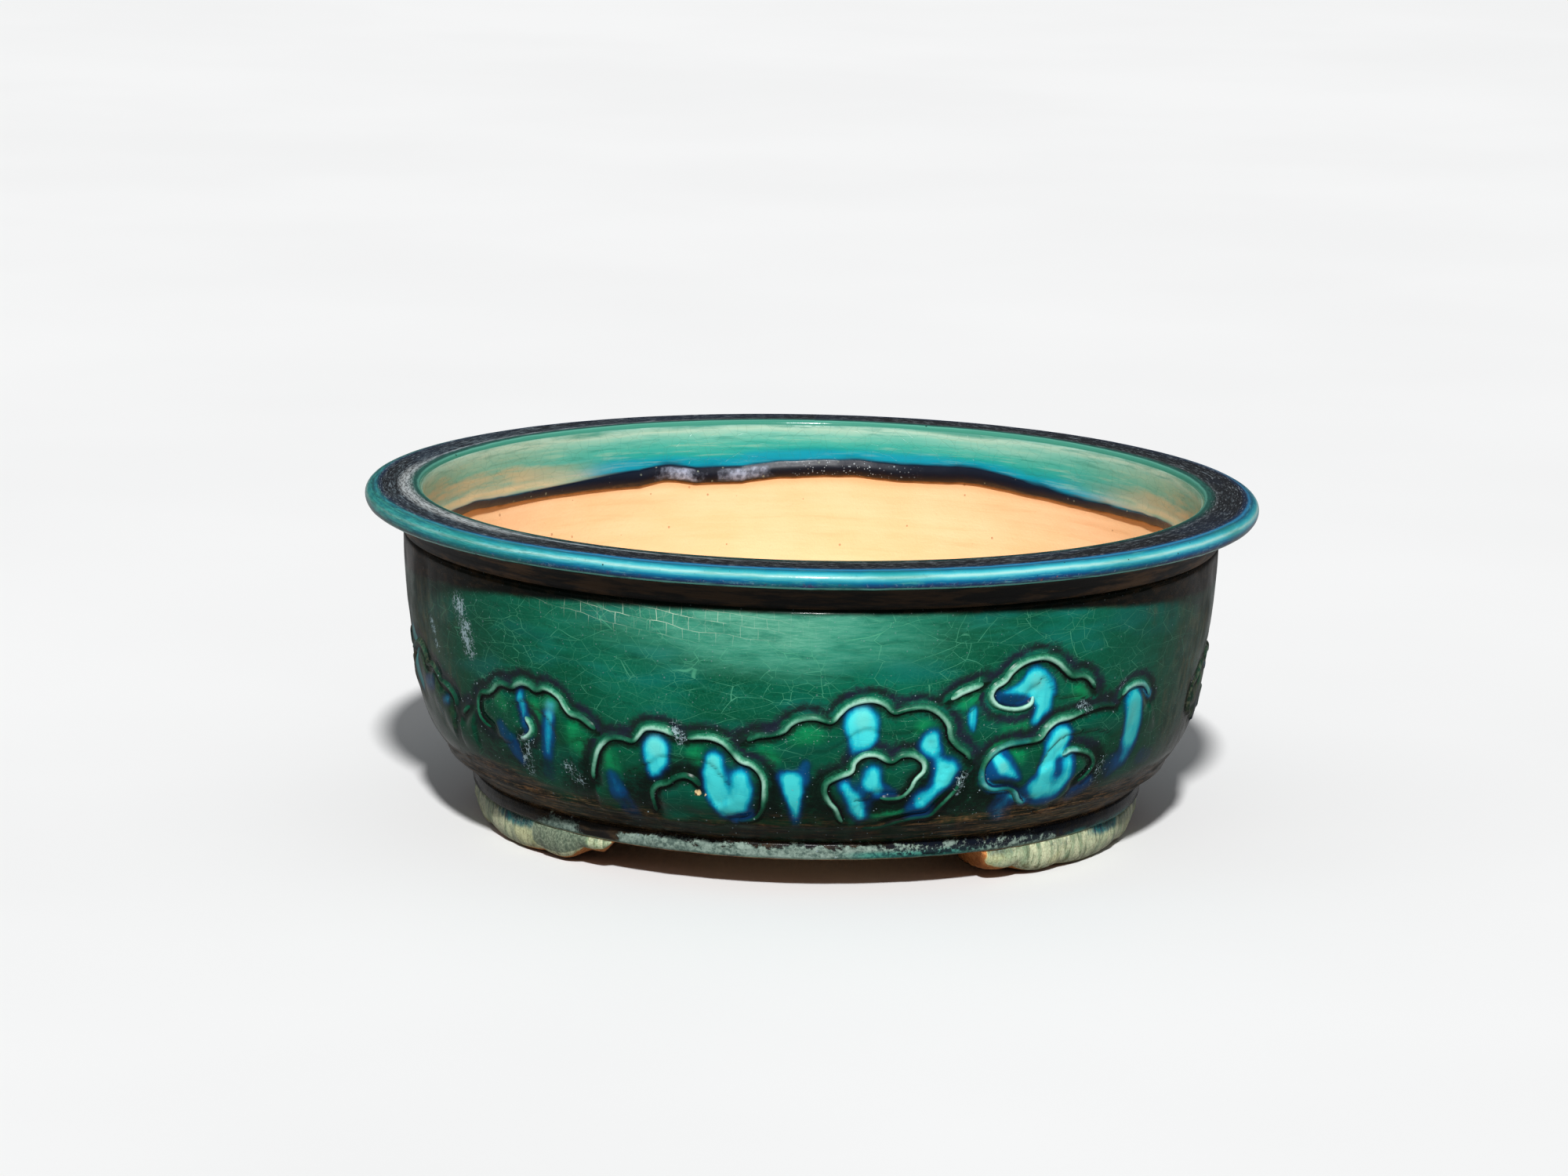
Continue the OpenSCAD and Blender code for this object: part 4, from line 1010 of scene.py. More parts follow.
# ------------------------------------------------------------------ the rim
def rim_glaze(name):
    g = Mat(name)
    s = g.mul(g.attr("rim_s").outputs["Fac"], 1.0)     # mm outwards from the mouth corner
    fl = g.noise(9, 3, 0.6, k=(1, 1, 1))
    fine = g.noise(1.3, 4, 0.68)
    longn = g.attr("rim_u").outputs["Vector"]           # (angle*radius, s, 0) in metres
    dash = g.noise(3.0, 4, 0.7, vec=longn, k=(0.35, 3.2, 1))
    dash2 = g.noise(1.0, 3, 0.6, vec=longn, k=(0.25, 3.0, 1), shift=(.3, .1, 0))
    blot = g.noise(26, 2, 0.5, vec=longn, k=(0.5, 1.6, 1))
    sw = g.add(s, g.math("MULTIPLY_ADD", g.noise(30, 2, 0.5, vec=longn, k=(0.6, 0.02, 1)), 1.6, -0.8))
    sw = g.add(sw, g.math("MULTIPLY_ADD", g.noise(4, 3, 0.6, vec=longn, k=(0.5, 0.4, 1), shift=(.2, 0, .1)), 0.7, -0.35))
    f = g.mul(sw, 1/32.0)
    q = lambda v: v/32.0
    # the pale teal at the mouth corner (s up to about 1.2) is glaze with a painted highlight on its rounded edge; the
    # near-black from s 24.8 on is painted shade under the bead
    col = g.ramp(f, [(q(0.0), srgb(66, 142, 122)), (q(0.6), srgb(92, 164, 144)), (q(1.2), srgb(24, 96, 84)), (q(2.6), srgb(6, 18, 24)),
                     (q(5.0), srgb(6, 11, 17)), (q(12.4), srgb(5, 10, 20)), (q(14.2), srgb(8, 40, 74)),
                     (q(15.0), srgb(36, 130, 176)), (q(15.9), srgb(8, 84, 112)), (q(16.9), srgb(14, 134, 158)), (q(17.9), srgb(72, 184, 194)),
                     (q(18.7), srgb(166, 216, 210)), (q(19.4), srgb(80, 182, 194)), (q(20.3), srgb(12, 122, 158)), (q(21.1), srgb(10, 84, 132)),
                     (q(22.0), srgb(34, 60, 104)), (q(23.0), srgb(30, 62, 82)), (q(24.0), srgb(16, 44, 40)), (q(24.8), srgb(12, 16, 9)),
                     (q(27.0), srgb(7, 7, 4)), (q(32.0), srgb(9, 7, 4))])
    top = g.mul(g.step(s, 1.8, 2.8), g.step(s, 15.0, 13.8))
    bead = g.mul(g.step(s, 14.6, 15.6), g.step(s, 24.6, 23.6))
    under = g.step(s, 24.2, 25.4)
    # flat top: blue-black with pale dashes and dull bloom
    col = g.mix(g.mul(top, g.mul(g.step(blot, 0.45, 0.7), 0.6)), col, srgb(16, 36, 58))
    col = g.mix(g.mul(top, g.mul(g.step(dash, 0.58, 0.70), 0.8)), col, srgb(126, 140, 148))
    col = g.mix(g.mul(top, g.mul(g.step(dash2, 0.58, 0.68), 0.65)), col, srgb(178, 188, 194))
    col = g.mix(g.mul(top, g.mul(g.step(g.noise(2.2, 2, 0.5, vec=longn, k=(.5, 2, 1), shift=(.7, 0, 0)), 0.62, 0.72), 0.8)), col, srgb(3, 4, 8))
    # painted reflection on the left, partly a dull bloom in the glaze: a silvery sheen brushed along the rim; greener
    # towards the mouth corner
    left_sky_sheen_and_bloom = g.mul(g.mul(top, g.step(g.xyz()[0], -0.05, -0.125)), g.step(g.add(dash2, g.mul(dash, 0.6)), 0.74, 1.0, 0.0, 0.75))
    left_sky_sheen_and_bloom = g.mul(left_sky_sheen_and_bloom, g.step(sw, 12.0, 4.0, 0.35, 1.0))
    col = g.mix(left_sky_sheen_and_bloom, col, srgb(124, 144, 154))
    ring1 = g.mul(g.step(g.math("ABSOLUTE", g.sub(sw, 4.4)), 0.9, 0.2), g.step(g.xyz()[0], 0.0, -0.07, 0.12, 0.85))
    col = g.mix(g.mul(g.mul(ring1, top), g.step(dash2, 0.36, 0.56)), col, srgb(178, 190, 194))
    # painted reflection: thin silvery arcs on the left of the top
    left_sky_sheen_arcs = g.mul(g.mul(top, g.step(g.xyz()[0], -0.080, -0.116)), g.mul(g.step(g.math("ABSOLUTE", g.sub(sw, 4.6)), 3.6, 1.0), g.step(g.xyz()[1], 0.05, 0.0)))
    col = g.mix(g.mul(left_sky_sheen_arcs, g.step(g.add(dash2, g.mul(dash, 0.5)), 0.60, 0.86, 0.1, 0.9)), col, srgb(196, 202, 202))
    gin = g.mul(g.mul(g.step(sw, 4.6, 2.2), g.step(s, 1.2, 1.9)), g.step(g.xyz()[1], -0.06, 0.02, 0.25, 1.0))
    col = g.mix(g.mul(gin, 0.8), col, g.mix(g.step(dash, 0.4, 0.6), srgb(14, 84, 74), srgb(34, 112, 98)))
    # bead: streaks along it, dark pits, reddish specks
    col = g.mix(g.mul(bead, g.mul(g.step(dash, 0.52, 0.7), 0.35)), col, srgb(120, 214, 214))
    col = g.mix(g.mul(bead, g.mul(g.step(g.add(blot, g.mul(g.sub(dash, 0.5), 0.4)), 0.46, 0.66), 0.5)), col, srgb(20, 130, 116))
    left = g.step(g.xyz()[0], -0.02, -0.11)
    col = g.mix(g.mul(g.mul(bead, left), g.mul(g.step(dash2, 0.4, 0.6), 0.45)), col, srgb(18, 108, 96))
    farl = g.step(g.xyz()[0], -0.095, -0.138)
    col = g.mix(g.mul(g.mul(g.step(s, 13.6, 14.8), farl), g.mul(g.step(s, 24.6, 23.8), 0.6)), col, g.mix(g.step(dash, 0.4, 0.62), srgb(16, 92, 84), srgb(58, 160, 142)))
    col = g.mix(g.mul(bead, g.mul(g.step(fine, 0.58, 0.74), 0.3)), col, srgb(24, 70, 96))
    lowb = g.mul(g.step(s, 20.4, 21.6), g.step(s, 24.4, 23.8))
    col = g.mix(g.mul(lowb, g.mul(g.step(g.noise(1.4, 3, 0.7, shift=(.4, .2, .1)), 0.56, 0.7), 0.55)), col, srgb(128, 150, 176))
    col = g.mix(g.mul(lowb, g.mul(g.step(g.noise(2.4, 3, 0.7, shift=(.1, .9, .4)), 0.56, 0.68), 0.6)), col, srgb(74, 60, 96))
    line = g.mul(g.step(g.math("ABSOLUTE", g.sub(g.add(s, g.mul(g.sub(fine, 0.5), 0.5)), 23.1)), 0.75, 0.25), g.step(g.noise(13, 2, 0.5), 0.30, 0.44, 0.35, 1.0))
    col = g.mix(g.mul(line, 0.9), col, srgb(126, 200, 188))
    pits = g.mx(g.specks(2.1, 0.16, 0.12), g.specks(4.2, 0.12, 0.2, shift=(.3, .2, .1)))
    col = g.mix(g.mul(g.mul(pits, g.inv(under)), 0.85), col, srgb(14, 22, 26))
    warm = g.specks(5.2, 0.1, 0.2, shift=(.9, .4, .2))
    col = g.mix(g.mul(g.mul(warm, bead), 0.7), col, srgb(150, 84, 70))
    # underside: painted shade, brown-black; towards the ends brown streaks, a painted reflection of brown surroundings
    ends = g.step(g.math("ABSOLUTE", g.xyz()[0]), 0.05, 0.125, 0.3, 1.0)
    br = g.mul(g.mul(under, ends), g.step(g.noise(6, 4, 0.68, vec=longn, k=(0.22, 1.8, 1)), 0.42, 0.62))
    col = g.mix(g.mul(under, g.mul(ends, 0.6)), col, srgb(20, 13, 7))
    col = g.mix(g.mul(br, 0.85), col, srgb(112, 80, 48))
    col = g.mix(g.mul(under, g.mul(g.step(fine, 0.66, 0.78), 0.4)), col, srgb(60, 84, 60))
    rough = g.math("MULTIPLY_ADD", fine, 0.10, 0.10)
    rough = g.add(rough, g.mul(top, g.math("MULTIPLY_ADD", dash, 0.26, 0.0)))
    rough = g.add(rough, g.mul(under, 0.30))
    n1 = g.bump(g.noise(16, 2, 0.5), 0.25)
    n2 = g.bump(g.noise(2.6, 3, 0.55), 0.05, n1)
    n3 = g.bump(g.add(g.inv(pits), g.mul(top, g.mul(dash, 0.5))), 0.09, n2)
    return g.finish(col, rough, n3, spec=0.2)


def build_rim():
    arc = [(146.9 + 3.1*math.cos(math.radians(a)), 109.5 + 3.1*math.sin(math.radians(a))) for a in range(-90, 91, 10)]
    cove = fillet([(137.0, 98.0), (137.5, 101.0), (138.6, 103.8), (140.2, 105.8), (142.2, 106.9), (144.6, 107.3), (146.9, 106.4)],
                  [0, 1.5, 2, 2, 2, 0.9, 0], 2)
    top = [(146.1, 112.9), (145.2, 112.98), (143.6, 112.9), (141.5, 112.82), (139.0, 112.8), (136.6, 112.84), (134.6, 112.93), (133.4, 112.99)]
    corner = [(132.75, 113.0), (132.1, 112.85), (131.7, 112.5), (131.4, 112.05), (131.25, 111.5)]
    inner = [(131.23, 109.0), (131.2, 106.5), (131.2, 104.0), (130.9, 101.0), (130.5, 98.0)]
    base = [(132.6, 98.0), (134.8, 98.0)]
    prof = base + cove[:-1] + arc + top + corner + inner
    a = np.array(prof)
    seg = np.linalg.norm(np.diff(np.vstack([a, a[:1]]), axis=0), axis=1)
    along = np.concatenate([[0], np.cumsum(seg)])[:-1]
    k0 = prof.index((131.7, 112.5))
    s = along[k0] - along          # mm outwards from the mouth corner
    n = 900
    S = np.repeat(s[:, None], n, 1)

    def bend(T, R, Z):
        p = spot(T, R, Z)
        w = sstep(132.5, 134.5, R)*0 + (Z > 99)
        dr = 0.16*fnoise(spot(T, 146.9, 109.0), 42, 2)*sstep(141, 146, R) - 0.02
        dz = 0.10*fnoise(spot(T, 140.0, 112.0) + 11, 55, 2)
        lump = 0.05*fnoise(p, 9, 2)
        dz = np.minimum(dz + lump, 0.0 + 0.10) - 0.10
        R2 = R + np.minimum(dr, 0.0)*w + lump*w*0.5*(R < 149)
        # glaze drips along the bead's lower edge
        k = sstep(108.6, 106.6, Z)*sstep(145.0, 146.5, R)
        Z2 = Z + dz*w - k*0.25*np.clip(fnoise(spot(T, 146.9, 105.0), 7, 2), 0, 1)
        return np.minimum(R2, 150.0), np.minimum(Z2, 113.0)

    def attrs(T, R, Z):
        ang = np.radians((T + 180) % 360 - 180)
        u = np.stack([np.cos(ang*1.0)*0.0 + ang*0.147, S*MM, 0*S], -1).reshape(-1, 3)
        # no seam at the back: bend the strip round instead of cutting it
        return {"rim_s": S.reshape(-1)}

    ob = revolve("rim_with_bead", prof, n, attrs, bend)
    me = ob.data
    # strip coordinates: distance round the rim, distance across it (metres)
    ang = np.repeat(((np.arange(n)*360.0/n + 180) % 360 - 180)[None, :], len(prof), 0)
    vec = me.attributes.new("rim_u", "FLOAT_VECTOR", "POINT")
    fade = np.radians(ang)
    vals = np.stack([np.abs(fade)*0.147, S*MM, 0.02*np.sin(fade/2)], -1).astype(np.float32)
    vec.data.foreach_set("vector", vals.ravel())
    ob.data.materials.append(rim_glaze("rim_glaze_navy"))
    return place(ob, "rim_flange")


# ------------------------------------------------------------------ glaze in the mouth
def mouth_glaze(name):
    g = Mat(name)
    v = g.attr("band_v").outputs["Fac"]       # 0 at the top .. 1 at the lower edge of the thin coat, then 1..2 over the roll
    br = g.noise(24, 4, 0.6, k=(0.55, 0.55, 5.0))
    br2 = g.noise(11, 3, 0.6, k=(0.5, 0.5, 7.0), shift=(.2, .4, .1))
    fine = g.noise(1.2, 4, 0.65)
    blot = g.noise(30, 2, 0.5)
    vv = g.add(v, g.add(g.mul(g.sub(br, 0.5), 0.42), g.mul(g.sub(blot, 0.5), 0.12)))
    # the dark roll is thinner towards the sides
    side = g.step(g.math("ABSOLUTE", g.xyz()[0]), 0.05, 0.10)
    shift = g.mul(g.step(v, 0.5, 1.2), g.mul(side, 0.34))
    v = g.sub(v, shift)
    f = g.mul(g.sub(vv, shift), 0.5)
    col = g.ramp(f, [(0.0, srgb(84, 150, 132)), (0.05, srgb(166, 204, 186)), (0.12, srgb(124, 194, 178)), (0.22, srgb(74, 175, 160)),
                     (0.34, srgb(40, 160, 152)), (0.41, srgb(22, 150, 166)), (0.46, srgb(12, 132, 156)), (0.50, srgb(22, 84, 104)),
                     (0.54, srgb(14, 26, 42)), (0.62, srgb(14, 20, 34)), (0.80, srgb(20, 18, 24)), (0.9, srgb(40, 26, 16)), (1.0, srgb(70, 44, 24))])
    thin = g.step(v, 1.0, 0.9)
    col = g.mix(g.mul(thin, g.mul(g.step(br2, 0.52, 0.72), 0.32)), col, srgb(176, 206, 180))
    col = g.mix(g.mul(thin, g.mul(g.step(br2, 0.47, 0.3), 0.5)), col, srgb(26, 140, 126))
    ax = g.math("ABSOLUTE", g.sub(g.xyz()[0], 0.010))      # the tan starts nearer on the left
    sides = g.step(ax, 0.080, 0.120)
    lowt = g.mul(g.mul(g.step(g.add(ax, g.mul(g.sub(br, 0.5), 0.03)), 0.078, 0.104), g.step(v, 0.62, 0.86)), g.step(v, 1.08, 0.99))
    col = g.mix(g.mul(lowt, 0.9), col, g.mix(g.step(br2, 0.38, 0.62), srgb(150, 170, 142), srgb(196, 182, 146)))
    tan = g.mul(g.mul(thin, sides), g.step(g.add(v, g.mul(g.sub(br, 0.5), 1.3)), 0.34, 0.72, 0.15, 0.75))
    col = g.mix(tan, col, srgb(206, 178, 132))
    teal = g.mul(g.mul(g.step(v, 0.55, 0.8), g.step(ax, 0.100, 0.076)), g.mul(thin, g.step(blot, 0.42, 0.56)))
    col = g.mix(g.mul(teal, 0.6), col, srgb(24, 148, 174))
    roll = g.step(v, 1.04, 1.16)
    # whitish blooms on the roll at the back, and fine pale speckle to their right
    px = g.add(g.xyz()[0], g.mul(g.sub(g.noise(5, 3, 0.6, shift=(.2, .7, .3)), 0.5), 0.020))
    place1 = g.mul(g.step(g.math("ABSOLUTE", g.add(px, 0.047)), 0.0085, 0.0015), 0.85)
    place2 = g.mul(g.step(g.math("ABSOLUTE", g.add(px, 0.025)), 0.0100, 0.0010), 0.75)
    back = g.step(g.xyz()[1], 0.0, 0.02)
    mid = g.mul(g.step(v, 1.78, 1.58), g.step(v, 1.12, 1.26))
    bloom = g.mul(g.mul(roll, back), g.mul(mid, g.mx(place1, place2)))
    col = g.mix(g.mul(bloom, g.step(g.noise(2.2, 3, 0.6), 0.36, 0.66, 0.30, 0.95)), col, srgb(178, 186, 208))
    dust = g.mul(g.mul(roll, back), g.mul(g.step(px, -0.012, 0.0), g.step(px, 0.040, 0.026)))
    col = g.mix(g.mul(g.mul(dust, g.mx(g.specks(1.2, 0.3, 0.5), g.specks(0.8, 0.3, 0.4, shift=(.3, .3, .1)))), 0.7), col, srgb(166, 176, 182))
    low1 = g.mul(g.mul(roll, side), g.step(v, 1.44, 1.6))
    col = g.mix(g.mul(low1, g.step(g.noise(2.4, 3, 0.6), 0.36, 0.6, 0.3, 0.95)), col, srgb(126, 98, 64))
    pale = g.mul(roll, g.specks(1.8, 0.26, 0.3))
    col = g.mix(g.mul(pale, g.mul(g.step(g.noise(26, 2, 0.5, shift=(.1, .3, .8)), 0.45, 0.6), 0.7)), col, srgb(150, 158, 140))
    cr = g.cracks(4.6, 0.14, vec=g.warp(9, 1.0), k=(1, 1, 1.3))
    col = g.mix(g.mul(g.mul(cr, thin), 0.13), col, srgb(60, 120, 100))
    rough = g.add(g.math("MULTIPLY_ADD", fine, 0.12, 0.14), g.mul(roll, 0.2))
    n1 = g.bump(g.noise(12, 2, 0.5, k=(1, 1, 2)), 0.2)
    n2 = g.bump(g.noise(2.4, 3, 0.55), 0.05, n1)
    n3 = g.bump(g.inv(g.mul(cr, thin)), 0.04, n2)
    return g.finish(col, rough, n3, spec=0.2)


def build_mouth():
    # outer side hidden against the wall; inner side seen
    roll = [(130.3, 91.0), (129.9, 90.75), (129.2, 90.9), (128.7, 91.5), (128.4, 92.4), (128.35, 93.3), (128.5, 94.3), (128.9, 95.2), (129.4, 96.0)]
    thin = [(129.75, 97.0), (129.95, 98.5), (130.1, 100.2), (130.25, 102), (130.35, 104), (130.4, 106), (130.45, 108), (130.5, 109.6), (130.75, 110.9), (131.0, 111.5)]
    back = [(131.25, 111.3), (131.22, 107.0), (131.2, 104.0), (130.9, 101.0), (130.5, 98.0), (130.42, 94.5)]
    # counter-clockwise: up the hidden side, then down the seen side
    prof = list(reversed(back)) + list(reversed(thin)) + list(reversed(roll))
    v = [1.0]*len(back)
    ztop, zth = 111.5, 96.6
    for p in reversed(thin):
        v.append((ztop - p[1])/(ztop - zth))
    k = len(roll)
    for i in range(k):
        v.append(1.04 + 0.96*(i + 1)/k)
    V = np.array(v)
    n = 900
    Vn = np.repeat(V[:, None], n, 1)
    hid = np.repeat(np.array([1]*len(back) + [0]*(len(prof) - len(back)))[:, None], n, 1)

    def bend(T, R, Z):
        lift = glaze_edge(T) - 91.0
        k = np.clip((107.0 - Z)/11.0, 0, 1)
        k = k*k*(3 - 2*k)
        p = spot(T, R, Z)
        bulge = 0.35*fnoise(spot(T, 129, 92), 16, 2)*(1 - hid)*k
        Z2 = Z + lift*k
        # keep the coat on the wall's own slope
        R2 = R - bulge + (1 - hid)*0.06*fnoise(p, 12, 2, (1, 1, 3))
        return R2, Z2

    def attrs(T, R, Z):
        return {"band_v": Vn.reshape(-1)}
    ob = revolve("mouth_glaze_coat", prof, n, attrs, bend)
    ob.data.materials.append(mouth_glaze("mouth_glaze_pale"))
    return place(ob, "glaze_inner_band")


# ------------------------------------------------------------------ the base
def lime_edge(t):
    """How much pale lime sits on the base ring at angle t, 0..1."""
    ts = (t + 180) % 360 - 180
    a = sstep(-36, -28, ts)*(1 - sstep(40, 50, ts))
    b = sstep(-55, -48, ts)*(1 - sstep(-44, -36, ts))*0.62
    c = sstep(92, 100, ts)*(1 - sstep(118, 128, ts))*0.8
    d = np.exp(-((ts + 140)/24.0)**2)*0.7
    return np.clip(a + b + c + d, 0, 1)


def ring_glaze(name):
    g = Mat(name)
    lime = g.attr("ring_lime").outputs["Fac"]
    z = g.xyz()[2]
    up = g.math("MULTIPLY_ADD", z, 1000.0/6.0, -RING_Z0/6.0)      # 0 at the lower edge .. 1 at the top
    fine = g.noise(1.3, 4, 0.68)
    lump = g.noise(5.0, 4, 0.7, k=(1, 1, 1.2))
    wide = g.noise(17, 3, 0.6)
    streak = g.noise(9, 4, 0.65, k=(1, 1, 6))
    col = g.mix(g.step(streak, 0.42, 0.72), srgb(22, 19, 15), srgb(66, 52, 36))
    col = g.mix(g.mul(g.step(wide, 0.42, 0.62), 0.6), col, srgb(16, 22, 30))
    col = g.mix(g.mul(g.step(g.noise(26, 2, 0.5, shift=(.2, .6, .1)), 0.52, 0.66), g.mul(g.step(up, 0.5, 0.1), 0.8)), col, srgb(24, 128, 124))
    edge = g.add(g.mul(lump, 1.5), g.mul(wide, 0.8))
    m = g.step(g.sub(g.mul(g.sub(edge, 0.62), 1.35), up), -0.10, 0.08)
    m = g.mul(m, g.step(g.add(lime, g.add(g.mul(g.sub(wide, 0.5), 0.8), g.mul(g.sub(lump, 0.5), 1.1))), 0.32, 0.5))
    lc = g.mix(g.step(fine, 0.4, 0.62), srgb(78, 98, 90), srgb(134, 154, 142))
    lc = g.mix(g.mul(g.step(lump, 0.5, 0.66), 0.55), lc, srgb(158, 178, 166))
    rt = g.step(g.add(g.xyz()[0], g.mul(g.sub(wide, 0.5), 0.02)), 0.018, 0.034)
    nav = g.mul(rt, g.mul(g.step(up, 0.1, 0.3), g.step(g.add(lump, g.mul(g.sub(fine, 0.5), 0.5)), 0.56, 0.48)))
    tl = g.mul(g.mul(g.step(up, 0.62, 0.3), g.step(up, 0.02, 0.14)), g.mul(g.step(g.xyz()[0], 0.008, 0.022), g.step(g.xyz()[0], 0.064, 0.046)))
    lc = g.mix(g.mul(tl, 0.85), lc, g.mix(g.step(fine, 0.4, 0.6), srgb(22, 104, 100), srgb(48, 140, 124)))
    col = g.mix(g.mul(m, 0.95), col, lc)
    col = g.mix(g.mul(nav, 0.92), col, srgb(13, 20, 32))
    sp = g.specks(2.0, 0.3, 0.22)
    near = g.mul(g.step(lime, 0.1, 0.6), g.step(g.noise(8, 3, 0.6, shift=(.4, 0, 0)), 0.5, 0.6))
    col = g.mix(g.mul(g.mul(sp, near), 0.8), col, srgb(150, 170, 176))
    rim = g.mul(g.step(up, 0.16, 0.02), g.step(g.noise(11, 2, 0.5, shift=(.7, .2, 0)), 0.42, 0.56))
    col = g.mix(g.mul(rim, 0.75), col, srgb(150, 190, 160))
    bare = g.step(z, (RING_Z0 + 0.5)*MM, (RING_Z0 + 0.1)*MM)
    under = g.mul(bare, g.step(g.noise(9, 3, 0.6), 0.36, 0.5, 0.55, 1.0))
    col = g.mix(under, col, g.mix(g.step(fine, 0.4, 0.65), srgb(168, 104, 60), srgb(206, 142, 92)))
    rough = g.mx(g.math("MULTIPLY_ADD", fine, 0.2, 0.16), g.mx(g.mul(m, 0.72), g.mul(bare, 0.8)))
    n1 = g.bump(g.add(g.mul(m, g.math("MULTIPLY_ADD", lump, 0.7, 0.5)), g.mul(g.mul(sp, near), 0.5)), 0.45)
    n2 = g.bump(fine, 0.08, n1)
    return g.finish(col, rough, n2, spec=0.2)


def build_ring():
    z0, z1 = RING_Z0, RING_Z1
    poly = [(96.0, z0), (111.8, z0), (112.8, z0 + 1.0), (113.1, z0 + 3.2), (112.7, z0 + 5.1), (111.8, z1), (108.0, z1),
            (108.0, SLAB_Z0), (96.0, SLAB_Z0)]
    prof = dense(fillet(poly, [0.6, 1.0, 1.2, 2.0, 0.8, 0.5, 0, 0, 0], 3), 1.4)
    n = 720

    def bend(T, R, Z):
        face = (R > 110.5)
        p = spot(T, R, Z)
        lm = lime_edge(T)
        crust = np.clip(fnoise(p, 6, 3, (1, 1, 1.3)) + 0.2, 0, 1)*lm*(1 - sstep(z0 + 2, z0 + 4.6, Z))*0.55
        d = 0.25*fnoise(spot(T, 114, 14), 36, 2) + 0.12*fnoise(p, 7, 2, (1, 1, 2)) - 0.1
        R2 = R + face*(d + crust)
        # low drips along the lower edge, kept off the feet
        sag = np.clip(fnoise(spot(T, 114, 11) + 33, 15, 2), 0, 1)
        Z2 = Z + (face & (Z < z0 + 1.4))*(0.55*sag)*1.0
        return R2, Z2

    def attrs(T, R, Z):
        return {"ring_lime": lime_edge(T).reshape(-1)}
    ob = revolve("base_ring_glazed", prof, n, attrs, bend)
    ob.data.materials.append(ring_glaze("ring_glaze_brown"))
    return place(ob, "base_ring")


# ------------------------------------------------------------------ the feet
def foot_glaze(name):
    g = Mat(name)
    fb = g.attr_rgb("foot_a")            # r: height up the face, g: bare clay, b: teal
    up, bare, teal = fb[:3]
    fine = g.noise(0.9, 4, 0.7)
    runs = g.noise(4.2, 4, 0.65, k=(1, 1, 0.28))
    runs2 = g.noise(2.0, 3, 0.6, k=(1, 1, 0.2), shift=(.3, .1, .2))
    blot = g.noise(11, 2, 0.5)
    col = g.mix(g.step(runs, 0.40, 0.68), srgb(226, 230, 190), srgb(166, 188, 150))
    col = g.mix(g.mul(g.step(runs2, 0.50, 0.66), 0.75), col, srgb(92, 118, 88))
    col = g.mix(g.mul(g.step(blot, 0.5, 0.66), 0.45), col, srgb(218, 216, 158))
    col = g.mix(g.mul(g.step(up, 0.6, 1.0), g.mul(g.step(runs, 0.4, 0.6), 0.5)), col, srgb(58, 92, 78))
    grit = g.step(g.noise(0.7, 3, 0.75, k=(1, 1, 0.6), shift=(.3, .8, .2)), 0.54, 0.66)
    col = g.mix(g.mul(grit, 0.62), col, srgb(96, 98, 62))
    tm = g.step(g.add(teal, g.mul(g.sub(runs, 0.5), 1.0)), 0.3, 0.85)
    col = g.mix(tm, col, g.mix(g.step(runs2, 0.4, 0.66), srgb(18, 132, 134), srgb(12, 66, 92)))
    cr = g.cracks(1.3, 0.12, vec=g.warp(4, 0.5))
    col = g.mix(g.mul(cr, 0.3), col, srgb(124, 106, 68))
    sp = g.mul(g.specks(1.1, 0.26, 0.5), g.step(up, 0.6, 0.25))
    col = g.mix(g.mul(sp, 0.7), col, srgb(128, 84, 44))
    crust = g.mul(g.step(up, 0.55, 0.95), g.step(g.add(blot, g.mul(g.sub(fine, 0.5), 0.5)), 0.46, 0.6))
    col = g.mix(g.mul(crust, 0.8), col, g.mix(g.step(fine, 0.42, 0.6), srgb(30, 44, 46), srgb(116, 134, 124)))
    patch = g.step(g.add(g.attr_rgb("foot_b")[0], g.add(g.mul(g.sub(blot, 0.5), 0.7), g.mul(g.sub(fine, 0.5), 0.5))), 0.42, 0.58)
    col = g.mix(g.mul(patch, 0.92), col, g.mix(g.step(fine, 0.42, 0.62), srgb(84, 100, 84), srgb(136, 150, 128)))
    low = g.mul(g.step(up, 0.34, 0.10), g.step(g.add(runs2, g.mul(g.sub(fine, 0.5), 0.6)), 0.44, 0.6))
    col = g.mix(g.mul(low, 0.55), col, srgb(132, 112, 66))
    edge = g.add(bare, g.add(g.mul(g.sub(runs, 0.5), 0.45), g.mul(g.sub(fine, 0.5), 0.3)))
    bm = g.step(edge, 0.42, 0.56)
    clay = g.mix(g.step(fine, 0.38, 0.66), srgb(178, 104, 50), srgb(222, 152, 90))
    clay = g.mix(g.mul(g.step(blot, 0.5, 0.64), 0.5), clay, srgb(142, 76, 36))
    ring = g.mul(g.step(edge, 0.30, 0.42), g.step(edge, 0.56, 0.46))
    col = g.mix(bm, col, clay)
    col = g.mix(g.mul(ring, 0.7), col, srgb(232, 206, 140))
    rough = g.mx(g.math("MULTIPLY_ADD", fine, 0.18, 0.22), g.mul(bm, 0.78))
    n1 = g.bump(g.add(runs, g.mul(g.inv(bm), 0.7)), 0.35)
    n2 = g.bump(g.add(fine, g.mul(g.inv(cr), 0.3)), 0.10, n1)
    return g.finish(col, rough, n2, spec=0.22)


